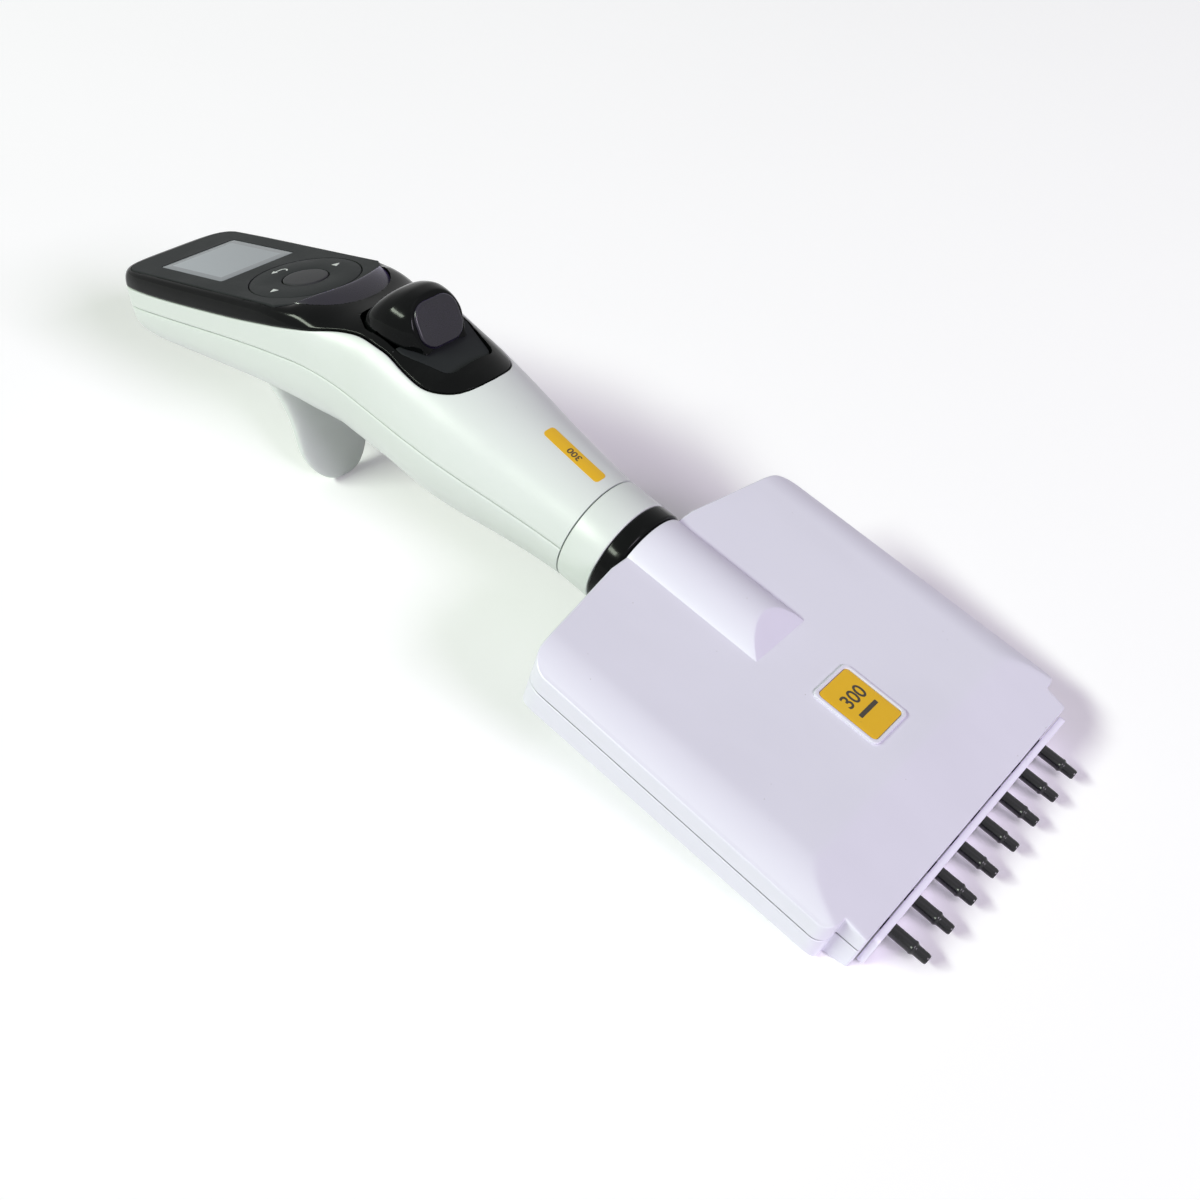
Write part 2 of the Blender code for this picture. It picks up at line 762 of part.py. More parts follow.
def run_outline(margin):
    """Crescent outline of the run button on the panel's axes."""
    ridge = ridge_arc(-margin, RUN_HALF_WIDTH - RUN_BLUNT + margin, 8)
    radius = chord_radius(RUN_FRONT - RUN_TIP)
    sweep = math.degrees(math.asin(RUN_HALF_WIDTH / radius))
    return ridge + arc((RUN_FRONT - radius, 0), radius + margin, sweep, -sweep, 12)


def lcd_outline(margin):
    """Outline of the display's window, grown by a margin."""
    wide = LCD_HALF_WIDTH + margin
    low = (-LCD_FAR - margin, -wide)
    return box_outline(low, (LCD_LENGTH - LCD_FAR + margin, wide), LCD_CORNER)


def build_panel(shop, looks, bezel):
    """Display panel with its lens, and the wells under it."""
    wells = {
        "panel_pocket": (panel_outline(GAP), PANEL_THICKNESS + GAP),
        "ring_well": (circle(RING_OUTER + GAP), WELL_DEPTH),
        "lcd_well": (lcd_outline(LCD_LEDGE), WELL_DEPTH),
        "run_well": (run_outline(GAP), WELL_DEPTH),
    }
    for name, (outline, depth) in wells.items():
        well = zone(shop, name, outline, -depth, WELL_DEPTH, 'XY', shop.panel)
        boolean(bezel, well, 'DIFFERENCE')

    low = -PANEL_THICKNESS
    holes = (lcd_outline(0.0), circle(RING_OUTER + GAP))
    panel = plate("display_panel", panel_outline(0.0), low, 0, 'XY', holes)
    shop.add("display_panel", panel, looks["grey"], shop.panel)
    lens = plate("lcd_lens", lcd_outline(-GAP), low, low + LENS_THICKNESS)
    shop.add("lcd_lens", lens, looks["lens"], shop.panel)
    margin = LCD_LEDGE - 2 * GAP
    wide = LCD_HALF_WIDTH + margin
    module = block("lcd_module", (-LCD_FAR - margin, -wide, BOARD_TOP + GAP),
                   (LCD_LENGTH - LCD_FAR + margin, wide, low - GAP))
    shop.add("lcd_module", module, looks["metal"], shop.panel)


def build_controls(shop, looks):
    """Touch ring, centre button, run button and the mat that they press."""
    low = -CONTROL_THICKNESS
    hole = circle(OK_RADIUS + GAP)
    ring = plate("touch_ring", circle(RING_OUTER), low, 0, 'XY', (hole,))
    shop.add("touch_ring", ring, looks["grey"], shop.panel)
    centre = plate("ok_button", circle(OK_RADIUS), low, OK_RISE)
    shop.add("ok_button", centre, looks["button"], shop.panel)
    top = low - RING_PRESS - GAP
    mat = plate("keypad_mat", circle(RING_OUTER), BOARD_TOP + GAP, top)
    mat = shop.add("keypad_mat", mat, looks["rubber"], shop.panel)
    relief = zone(shop, "mat_relief", hole, top - OK_PRESS, 0, 'XY', shop.panel)
    boolean(mat, relief, 'DIFFERENCE')

    run = plate("run_button", run_outline(0.0), -RUN_DEPTH, RUN_HEIGHT)
    run = shop.add("run_button", run, looks["purple"], shop.panel)
    far = 2 * RUN_FRONT - RUN_RIDGE
    outline = [(RUN_RIDGE, RUN_HEIGHT), (far, RUN_HEIGHT - 2 * RUN_FALL), (far, WELL_DEPTH),
               (RUN_RIDGE, WELL_DEPTH)]
    wide = RUN_HALF_WIDTH + 4
    slope = zone(shop, "run_slope", outline, -wide, wide, 'XZ', shop.panel)
    boolean(run, slope, 'DIFFERENCE')


def build_electronics(shop, looks):
    """Circuit board and battery under the display."""
    board = block("main_board", (BOARD_FAR, -BOARD_HALF_WIDTH, BOARD_TOP - BOARD_THICKNESS),
                  (BOARD_END, BOARD_HALF_WIDTH, BOARD_TOP))
    shop.add("main_board", board, looks["board"], shop.panel)
    outline = box_outline((BATTERY_FAR, -BATTERY_HALF_WIDTH),
                          (BATTERY_FAR + BATTERY_LENGTH, BATTERY_HALF_WIDTH), BATTERY_CORNER)
    top = BOARD_TOP - BOARD_THICKNESS - GAP
    battery = plate("battery_pack", outline, top - BATTERY_DEPTH, top)
    shop.add("battery_pack", battery, looks["battery"], shop.panel)


def lever_opening():
    """Corners of the opening that the lever and its track fill, seen from above."""
    side = LEVER_HALF_WIDTH + RUNNING_GAP
    near = [(LEVER_BACK - 2 * GAP, 2.6 - side, 2.5), (LEVER_BACK + 4.2, -side, 3.0),
            (LEVER_FRONT - 5.0, -side, 4.0), (TRACK_END, -TRACK_HALF_WIDTH, 3.2)]
    return near + [(x, -y, r) for x, y, r in near[::-1]]


def lever_hump():
    """Rings of the lever's domed body, from its back to its front."""
    domes = [(0, 10.4, 5.6), (0.9, 8.1, 7.6), (2.9, 4.5, 9.4), (5.8, 1.7, 10.2),
             (8.8, 0.3, LEVER_HALF_WIDTH), (11.6, 0, 10.1), (14.5, 0.3, 9.3), (17.5, 1.1, 8.1),
             (LEVER_FRONT - LEVER_BACK, 2.3, 6.6)]
    rings = []
    for behind, below, half_width in domes:
        rise = LEVER_PEAK - below - LEVER_BASE
        angles = [math.pi * i / DOME_STEPS for i in range(DOME_STEPS + 1)]
        rings.append([(LEVER_BACK + behind, half_width * bow(math.cos(a), 1 / 1.2),
                       LEVER_BASE + rise * bow(math.sin(a), 1 / 1.2)) for a in angles])
    return rings


def build_lever(shop, looks, front, bezel):
    """Tip eject lever with its thumb pad, and the track that it slides on."""
    corners = lever_opening()
    opening = zone(shop, "lever_opening", rounded(corners), SLIDER_TOP + GAP, 40, 'XY')
    boolean(bezel, opening, 'DIFFERENCE')
    boolean(front, opening, 'DIFFERENCE')
    inner = [(x - GAP if x > TRACK_BACK else x, y - math.copysign(GAP, y), r) for x, y, r in corners]
    track = plate("lever_track", rounded(inner), TRACK_FLOOR - TRACK_THICKNESS, TRACK_FLOOR)
    track = shop.add("lever_track", track, looks["black"])
    ahead = slab(shop, "track_front", (TRACK_BACK, -20, 0), (TRACK_END + 5, 20, 40))
    boolean(track, ahead, 'INTERSECT')

    lever = shop.add("eject_lever", skin("eject_lever", lever_hump()), looks["black"])
    pad_axes = shop.empty("pad_axes", shop.tool)
    pad_axes.location = (PAD_X * MM, 0, PAD_Z * MM)
    pad_axes.rotation_euler = (0, math.radians(PAD_TILT), 0)
    boolean(lever, slab(shop, "above_pad", (-30, -20, 0), (30, 20, 40), pad_axes), 'DIFFERENCE')
    clear = TRACK_BACK - EJECT_STROKE - GAP
    under = slab(shop, "under_lever", (clear, -20, 0), (TRACK_END, 20, TRACK_FLOOR + GAP))
    boolean(lever, under, 'DIFFERENCE')
    stem = slab(shop, "lever_stem", (LEVER_BACK + 1.6, -STEM_HALF_WIDTH, SLIDER_TOP + GAP),
                (clear - GAP, STEM_HALF_WIDTH, TRACK_FLOOR + GAP))
    boolean(lever, stem, 'UNION')

    long = PAD_LENGTH / 2
    wide = PAD_WIDTH / 2
    pocket = box_outline((-long - GAP, -wide - GAP), (long + GAP, wide + GAP), PAD_CORNER + GAP)
    pocket = zone(shop, "pad_pocket", pocket, -PAD_SEAT - GAP, 5, 'XY', pad_axes)
    boolean(lever, pocket, 'DIFFERENCE')
    pad = box_outline((-long, -wide), (long, wide), PAD_CORNER)
    pad = plate("thumb_pad", pad, -PAD_SEAT, PAD_THICKNESS - PAD_SEAT)
    pad = shop.add("thumb_pad", pad, looks["purple"], pad_axes)
    bevel(pad, 0.4, 2, 50)


def build_slider(shop, looks):
    """Slider under the lever, and the sleeve that it pushes along the drive's axis."""
    wide = SLIDER_HALF_WIDTH
    low = SLIDER_TOP - SLIDER_THICKNESS
    bridge = SLEEVE_BACK + 2 * GAP
    front = bridge + SLIDER_FOOT
    slider = block("eject_slider", (SLIDER_BACK, -wide, low), (front, wide, SLIDER_TOP))
    slider = shop.add("eject_slider", slider, looks["metal"])
    foot = slab(shop, "slider_foot", (bridge, -wide, -wide), (front, wide, low + 0.5))
    boolean(slider, foot, 'UNION')
    eye = rod("slider_eye", SLEEVE_RADIUS + GAP, bridge - 5, front + 5, steps=18)
    boolean(slider, shop.cutter("slider_eye", eye), 'DIFFERENCE')

    bore = ROD_RADIUS + RUNNING_GAP
    end = EJECT_CROSSHEAD_X - GAP
    flange_front = FLANGE_X + FLANGE_THICKNESS
    profile = [(end, bore), (end, SLEEVE_RADIUS), (flange_front, SLEEVE_RADIUS),
               (flange_front, FLANGE_RADIUS), (FLANGE_X, FLANGE_RADIUS), (FLANGE_X, SLEEVE_RADIUS),
               (SLEEVE_BACK, SLEEVE_RADIUS), (SLEEVE_BACK, bore)]
    turned(shop, "eject_sleeve", profile, looks["metal"], steps=14)


def build_spring(shop, looks):
    """The eject return spring, a coil between the sleeve's flange and the coupling ring."""
    start = FLANGE_X + FLANGE_THICKNESS + GAP + SPRING_WIRE / 2
    end = RING_BACK - GAP - SPRING_WIRE / 2
    radius = SLEEVE_RADIUS + 3 * GAP + SPRING_WIRE / 2
    curve = bpy.data.curves.new("eject_spring", 'CURVE')
    curve.dimensions = '3D'
    curve.bevel_depth = SPRING_WIRE / 2 * MM
    curve.bevel_resolution = 1
    curve.use_fill_caps = True
    spline = curve.splines.new('POLY')
    count = int(SPRING_TURNS * SPRING_POINTS)
    spline.points.add(count)
    for i, point in enumerate(spline.points):
        turn = 2 * math.pi * SPRING_TURNS * i / count
        x = start + (end - start) * i / count
        point.co = (x * MM, radius * math.cos(turn) * MM, radius * math.sin(turn) * MM, 1)
    spring = mesh_from(welded_curve(curve), "eject_spring")
    shop.add("eject_spring", spring, looks["metal"])


def build_drive(shop, looks):
    """Motor, its cradle, the lead screw and the drive rod."""
    back = MOTOR_FRONT - MOTOR_LENGTH
    nose = MOTOR_FRONT + MOTOR_BOSS_LENGTH
    profile = [(nose, 0), (nose, MOTOR_BOSS), (MOTOR_FRONT, MOTOR_BOSS), (MOTOR_FRONT, MOTOR_RADIUS),
               (back, MOTOR_RADIUS), (back, MOTOR_BOSS), (back - 2.0, MOTOR_BOSS), (back - 2.0, 0)]
    turned(shop, "drive_motor", profile, looks["metal"], steps=16)
    saddle = arc((0, 0), MOTOR_RADIUS + GAP, 200, 340, 10) + arc((0, 0), CRADLE_RADIUS, 340, 200, 12)
    cradle = plate("motor_cradle", saddle, back + 5, MOTOR_FRONT - 4, 'YZ')
    shop.add("motor_cradle", cradle, looks["frame"])
    start = nose + GAP
    tip = start + SCREW_LENGTH
    screw = [(tip, 0), (tip, SCREW_RADIUS), (start, SCREW_RADIUS), (start, 0)]
    turned(shop, "lead_screw", screw, looks["metal"], steps=SMALL_STEPS)
    front = CROSSHEAD_X + CROSSHEAD_THICKNESS
    head = front + GAP + 1.3
    bore_end = tip + STROKE + 1.0
    profile = [(head, 0), (head, ROD_RADIUS), (front + GAP, ROD_RADIUS), (front + GAP, ROD_NECK),
               (CROSSHEAD_X - GAP, ROD_NECK), (CROSSHEAD_X - GAP, ROD_RADIUS),
               (ROD_BACK, ROD_RADIUS), (ROD_BACK, ROD_BORE), (bore_end, ROD_BORE), (bore_end, 0)]
    turned(shop, "drive_rod", profile, looks["metal"], steps=12)


def build_coupling(shop, looks):
    """White coupling ring of the handle and glossy collar of the head."""
    front = COLLAR_BACK - GAP
    shelf = RING_BACK + RING_SHELF
    bore = NECK_RADIUS + GAP
    spigot = RING_RADIUS - WALL - GAP
    spigot_end = RING_BACK - SPIGOT_LENGTH
    eye = SLEEVE_RADIUS + RUNNING_GAP
    profile = [(front, bore), (front, RING_RADIUS), (RING_BACK, RING_RADIUS), (RING_BACK, spigot),
               (spigot_end, spigot), (spigot_end, spigot - WALL), (RING_BACK, spigot - WALL),
               (RING_BACK, eye), (shelf, eye), (shelf, bore)]
    turned(shop, "coupling_ring", profile, looks["white"])
    face = -HEAD_LENGTH - GAP
    groove = -HEAD_LENGTH + HEAD_WALL + GAP
    retainer = groove + RETAINER_LENGTH
    neck_end = COLLAR_BACK - NECK_LENGTH
    profile = [(retainer, NECK_BORE), (retainer, RETAINER_RADIUS), (groove, RETAINER_RADIUS),
               (groove, NECK_RADIUS), (face, NECK_RADIUS), (face, COLLAR_RADIUS - 0.5),
               (face - 0.5, COLLAR_RADIUS), (COLLAR_BACK, COLLAR_RADIUS), (COLLAR_BACK, NECK_RADIUS),
               (neck_end, NECK_RADIUS), (neck_end, NECK_BORE)]
    turned(shop, "swivel_collar", profile, looks["black"])


def head_plan(inset):
    """Plan of the head covers, or of the space inside them."""
    notch = -NOTCH_DEPTH - inset
    wide = HEAD_HALF_WIDTH - inset
    narrow = NOTCH_HALF_WIDTH - inset
    shoulder = SHOULDER_HALF_WIDTH - inset
    back = -HEAD_LENGTH + inset
    root = BOSS_RADIUS + 1.4
    right = [(-inset, narrow, 0.6), (notch, narrow, 0.3), (notch, wide, max(3.0 - inset, 1.0)),
             (back + SHOULDER_SLOPE, shoulder, max(SHOULDER_RADIUS - inset, 2.0)), (back, root, 0)]
    return rounded(right + [(x, -y, r) for x, y, r in right[::-1]])


def roll(edge, top, inset=0.0):
    """Half section of a cover: a flat top that rolls off to its outer edge."""
    drop = abs(top - edge)
    radius = (ROLL_WIDTH ** 2 + drop ** 2) / (2 * drop)
    sign = math.copysign(1, top)
    reach = math.degrees(math.asin(ROLL_WIDTH / radius))
    centre = (HEAD_HALF_WIDTH - ROLL_WIDTH, top - sign * radius)
    return arc(centre, radius - inset, 90 * sign, 90 * sign - sign * reach, 4)


def mirrored(right):
    """A section closed by the mirror image of its right half."""
    return right + [(-y, z) for y, z in right[::-1]]


def cover_section(sign):
    """Cross section of the front or the back cover, down to the seam between them."""
    seam = HEAD_SEAM + sign * GAP / 2
    edge = FRONT_EDGE if sign > 0 else BACK_EDGE
    return mirrored([(HEAD_HALF_WIDTH, seam)] + roll(edge, sign * HEAD_TOP)[::-1])


def cavity_section():
    """Cross section of the space inside both covers, open at its sides."""
    bottom = roll(BACK_EDGE, -HEAD_TOP, HEAD_WALL)
    top = roll(FRONT_EDGE, HEAD_TOP, HEAD_WALL)
    last = HEAD_HALF_WIDTH + 2
    return mirrored(bottom + [(last, bottom[-1][1]), (last, top[-1][1])] + top[::-1])


def facet_cutters(shop, name, inset, angle):
    """Wedges that slope the end of the head on both sides."""
    height = END_HALF_HEIGHT - inset / math.cos(angle)
    ahead, run, sky = 4.0, 40.0, 30.0
    slope = math.tan(angle)
    top = [(ahead, height - ahead * slope), (ahead, sky), (-run, sky), (-run, height + run * slope)]
    bottom = [(x, -z) for x, z in top[::-1]]
    return (zone(shop, name + "_top", top, -60, 60), zone(shop, name + "_bottom", bottom, -60, 60))


def boss_outline(sign):
    """Half disc of the boss, on the YZ plane, that ends at the seam of the covers."""
    start = math.degrees(math.asin((HEAD_SEAM + sign * GAP / 2) / BOSS_RADIUS))
    if sign > 0:
        return arc((0, 0), BOSS_RADIUS, start, 180 - start, 14)
    return arc((0, 0), BOSS_RADIUS, 180 - start, 360 + start, 14)


def head_cover(shop, name, material, sign, angle):
    """A cover's section extruded, trimmed to its plan, sloped at its end, with its boss."""
    cover = plate(name, cover_section(sign), -HEAD_LENGTH - 8, 4, 'YZ')
    cover = shop.add(name, cover, material)
    boolean(cover, zone(shop, name + "_plan", head_plan(0.0), -20, 20, 'XY'), 'INTERSECT')
    for cutter in facet_cutters(shop, name + "_facet", 0.0, angle):
        boolean(cover, cutter, 'DIFFERENCE')
    front = BOSS_LENGTH - HEAD_LENGTH
    boss = zone(shop, name + "_boss", boss_outline(sign), -HEAD_LENGTH, front, 'YZ')
    lift = BOSS_RADIUS - HEAD_TOP
    run = lift / math.tan(math.radians(BOSS_FACET))
    wedge = [(front - run, BOSS_RADIUS), (front + run, HEAD_TOP - lift), (front + run, 30),
             (front - run, 30)]
    if sign < 0:
        wedge = [(x, -z) for x, z in wedge[::-1]]
    boolean(boss, zone(shop, name + "_boss_facet", wedge), 'DIFFERENCE')
    boolean(cover, boss, 'UNION')
    return cover


def build_head(shop, looks, angle):
    """The two covers of the head, with the cavity and the posts between them."""
    front = head_cover(shop, "head_front_cover", looks["white"], 1, angle)
    back = head_cover(shop, "head_back_cover", looks["white"], -1, angle)

    cavity = plate("head_cavity", cavity_section(), -HEAD_LENGTH - 8, 4, 'YZ')
    cavity = shop.cutter("head_cavity", cavity)
    boolean(cavity, zone(shop, "cavity_plan", head_plan(HEAD_WALL), -20, 20, 'XY'), 'INTERSECT')
    for cutter in facet_cutters(shop, "cavity_facet", HEAD_WALL, angle):
        boolean(cavity, cutter, 'DIFFERENCE')
    inside = HEAD_WALL - HEAD_LENGTH
    tunnel = rod("boss_tunnel", BOSS_RADIUS - HEAD_WALL, inside, BOSS_LENGTH - HEAD_LENGTH - 8,
                 steps=ROUND_STEPS)
    throat = rod("collar_hole", NECK_RADIUS + GAP, COLLAR_BACK, inside + 1, steps=ROUND_STEPS)
    slot_wide = PLATE_HALF_WIDTH
    slot = slab(shop, "end_slot", (-3.5, -slot_wide, -SLOT_HALF_HEIGHT), (3, slot_wide, SLOT_HALF_HEIGHT))
    cutters = (cavity, shop.cutter("boss_tunnel", tunnel), shop.cutter("collar_hole", throat), slot)
    for cover in (front, back):
        for cutter in cutters:
            boolean(cover, cutter, 'DIFFERENCE')

    places = [(x, y) for x in POST_STATIONS for y in (-POST_Y, POST_Y)]
    for i, place in enumerate(places, 1):
        upper = post("upper_post", POST_RADIUS, HEAD_SEAM + GAP / 2, FRONT_EDGE, place, BORE_STEPS)
        boolean(front, shop.cutter(f"upper_post_{i}", upper), 'UNION')
        lower = post("lower_post", POST_RADIUS, BACK_EDGE - 2.6, HEAD_SEAM - GAP / 2, place, BORE_STEPS)
        boolean(back, shop.cutter(f"lower_post_{i}", lower), 'UNION')
        hole = post("post_hole", POST_HOLE, -HEAD_TOP - 5, FRONT_EDGE - 1.0, place, 8)
        hole = shop.cutter(f"post_hole_{i}", hole)
        boolean(front, hole, 'DIFFERENCE')
        boolean(back, hole, 'DIFFERENCE')
        screw = post("head_screw", HEAD_SCREW_RADIUS, HEAD_SCREW_END, HEAD_SCREW_TOP, place, 8)
        shop.add(f"head_screw_{i}", screw, looks["metal"])
    return front


def block_half_height():
    """Half height of the cylinder block between the head's walls."""
    return HEAD_TOP - HEAD_WALL - GAP - 0.1


def build_block(shop, looks):
    """Cylinder block with its stepped bores, its guide rods and the seal behind it."""
    places = channel_places()
    guides = (-GUIDE_Y, GUIDE_Y)
    high = block_half_height()
    wide = ARM_INNER - 2 * RUNNING_GAP
    side = [(BLOCK_BACK, -high), (BLOCK_SHOULDER, -high), (BLOCK_TAPER, -NOSE_HALF_HEIGHT - 0.2),
            (BLOCK_FRONT, -NOSE_HALF_HEIGHT)]
    side += [(x, -z) for x, z in side[::-1]]
    cylinders = shop.add("cylinder_block", plate("cylinder_block", side, -wide, wide, 'XZ'), looks["frame"])
    seat = FITTING_FLANGE + GAP
    shoulder = FITTING_SEAT - GAP
    for i, y in enumerate(places, 1):
        stepped = [(2, 0), (2, seat), (shoulder, seat), (shoulder, BORE_RADIUS),
                   (BLOCK_BACK - 4, BORE_RADIUS), (BLOCK_BACK - 4, 0)]
        boolean(cylinders, turned_cutter(shop, f"bore_{i}", stepped, y), 'DIFFERENCE')
    for i, y in enumerate(guides, 1):
        seat_end = BLOCK_BACK + GUIDE_SEAT
        hole = rod("guide_hole", GUIDE_RADIUS + GAP, BLOCK_BACK - 4, seat_end + 1, (y, 0), BORE_STEPS)
        boolean(cylinders, shop.cutter(f"guide_hole_{i}", hole), 'DIFFERENCE')
        guide = rod("guide_rod", GUIDE_RADIUS, GUIDE_END, seat_end, (y, 0), BORE_STEPS)
        shop.add(f"guide_rod_{i}", guide, looks["metal"])

    holes = [circle(BORE_RADIUS, (y, 0), BORE_STEPS) for y in places]
    holes += [circle(GUIDE_RADIUS + GAP, (y, 0), BORE_STEPS) for y in guides]
    back = BLOCK_BACK - GAP
    outline = box_outline((-wide, 1 - high), (wide, high - 1), 1.0)
    seal = plate("seal_plate", outline, back - SEAL_THICKNESS, back, 'YZ', holes)
    shop.add("seal_plate", seal, looks["rubber"])


def build_pistons(shop, looks):
    """The crosshead that the drive rod moves, and the eight pistons that it carries."""
    front = CROSSHEAD_X + CROSSHEAD_THICKNESS
    wide = CROSSHEAD_HALF_WIDTH
    high = CROSSHEAD_HALF_HEIGHT
    holes = [circle(PISTON_STEM + GAP, (y, 0), 8) for y in channel_places()]
    holes += [circle(GUIDE_RADIUS + GAP, (y, 0), BORE_STEPS) for y in (-GUIDE_Y, GUIDE_Y)]
    holes.append(circle(ROD_NECK + GAP, (0, 0), SMALL_STEPS))
    outline = box_outline((-wide, -high), (wide, high), 1.0)
    crosshead = plate("piston_crosshead", outline, CROSSHEAD_X, front, 'YZ', holes)
    shop.add("piston_crosshead", crosshead, looks["metal"])
    behind = CROSSHEAD_X - GAP
    tail = behind - 1.2
    for i, y in enumerate(channel_places(), 1):
        profile = [(PISTON_TIP, 0), (PISTON_TIP, PISTON_RADIUS), (front + GAP, PISTON_RADIUS),
                   (front + GAP, PISTON_STEM), (behind, PISTON_STEM), (behind, PISTON_HEAD),
                   (tail, PISTON_HEAD), (tail, 0)]
        piston = turned(shop, f"piston_{i}", profile, looks["metal"], steps=BORE_STEPS)
        piston.location = (0, y * MM, 0)


def build_fittings(shop, looks):
    """The eight tip fittings, each with a seating step and a flange in the block."""
    ring = FITTING_STEP
    for i, y in enumerate(channel_places(), 1):
        profile = [(FITTING_LENGTH, FITTING_BORE), (FITTING_LENGTH, FITTING_TIP_RADIUS),
                   (ring + 0.3, FITTING_TIP_RADIUS), (ring, FITTING_RADIUS),
                   (FITTING_SHOULDER, FITTING_RADIUS), (FITTING_SHOULDER, FITTING_FLANGE),
                   (FITTING_SEAT, FITTING_FLANGE), (FITTING_SEAT, FITTING_BORE)]
        fitting = turned(shop, f"tip_fitting_{i}", profile, looks["fitting"], steps=BORE_STEPS)
        fitting.location = (0, y * MM, 0)


def build_stripper(shop, looks):
    """Eject crosshead behind the pistons, its two arms, and the plate at the head's end."""
    back = EJECT_CROSSHEAD_X
    front = back + EJECT_CROSSHEAD_THICKNESS
    high = ARM_HALF_HEIGHT
    hub = SLEEVE_RADIUS + HUB_WALL
    lower = [(-ARM_OUTER, -high, 0.4), (-hub - 4, -high, 1.5), (-hub, -hub, 2.0)]
    lower += [(-y, z, r) for y, z, r in lower[::-1]]
    outline = rounded(lower + [(-y, -z, r) for y, z, r in lower])
    hole = circle(ROD_RADIUS + RUNNING_GAP, (0, 0), SMALL_STEPS)
    bar = plate("eject_crosshead", outline, back, front, 'YZ', (hole,))
    bar = shop.add("eject_crosshead", bar, looks["metal"])
    for side in (-1, 1):
        inner, outer = sorted((side * ARM_INNER, side * ARM_OUTER))
        name = "eject_arm_left" if side < 0 else "eject_arm_right"
        arm = slab(shop, name, (front - 1.0, inner, -high), (0, outer, high))
        boolean(bar, arm, 'UNION')
    holes = [circle(PLATE_HOLE, (y, 0), BORE_STEPS) for y in channel_places()]
    wide = PLATE_HALF_WIDTH
    tall = PLATE_HALF_HEIGHT
    outline = box_outline((-wide, -tall), (wide, tall), 1.0)
    stripper = plate("stripper_plate", outline, GAP, GAP + PLATE_THICKNESS, 'YZ', holes)
    shop.add("stripper_plate", stripper, looks["white"])


def turned_cutter(shop, name, profile, y):
    """A turned cutter centred on a channel."""
    item = turned(shop, name, profile, None, steps=BORE_STEPS)
    item.location = (0, y * MM, 0)
    shop.parts.objects.unlink(item)
    shop.cutters.objects.link(item)
    item.hide_render = True
    item.display_type = 'WIRE'
    return item


def label_outline(far, length, half_width, margin, corner):
    """Outline of a label seen from above, grown by a margin."""
    low = (far - margin, -half_width - margin)
    return box_outline(low, (far + length + margin, half_width + margin), corner + margin)


def build_number_plate(shop, looks, cover):
    """Raised frame and number plate on the head."""
    place = (FRAME_FAR, FRAME_LENGTH, FRAME_HALF_WIDTH)
    top = HEAD_TOP + FRAME_HEIGHT
    floor = HEAD_TOP - FRAME_SEAT
    window = label_outline(*place, -INSERT_MARGIN, FRAME_CORNER)
    outline = label_outline(*place, 0.0, FRAME_CORNER)
    frame = plate("number_plate_frame", outline, floor + GAP, top, 'XY', (window,))
    shop.add("number_plate_frame", frame, looks["white"])
    insert = label_outline(*place, -INSERT_MARGIN - GAP, FRAME_CORNER)
    insert = plate("number_plate", insert, floor + GAP, top - INSERT_DROP)
    shop.add("number_plate", insert, looks["yellow"])
    pocket = label_outline(*place, GAP, FRAME_CORNER)
    boolean(cover, zone(shop, "plate_pocket", pocket, floor, 20, 'XY'), 'DIFFERENCE')


def build_volume_plate(shop, looks, shell):
    """Volume plate let into the front shell, flush with its skin."""
    place = (LABEL_FAR, LABEL_LENGTH, LABEL_HALF_WIDTH)
    low, high = 5, 30
    label = plate("volume_plate", label_outline(*place, 0.0, LABEL_CORNER), low, high)
    label = shop.add("volume_plate", label, looks["yellow"])
    boolean(label, shop.cutter("label_skin", handle_skin("label_skin")), 'INTERSECT')
    under = handle_skin("label_under", LABEL_THICKNESS)
    boolean(label, shop.cutter("label_under", under), 'DIFFERENCE')
    pocket = zone(shop, "label_pocket", label_outline(*place, GAP, LABEL_CORNER), low, high, 'XY')
    floor = handle_skin("pocket_floor", LABEL_THICKNESS + GAP)
    boolean(pocket, shop.cutter("pocket_floor", floor), 'DIFFERENCE')
    boolean(shell, pocket, 'DIFFERENCE')


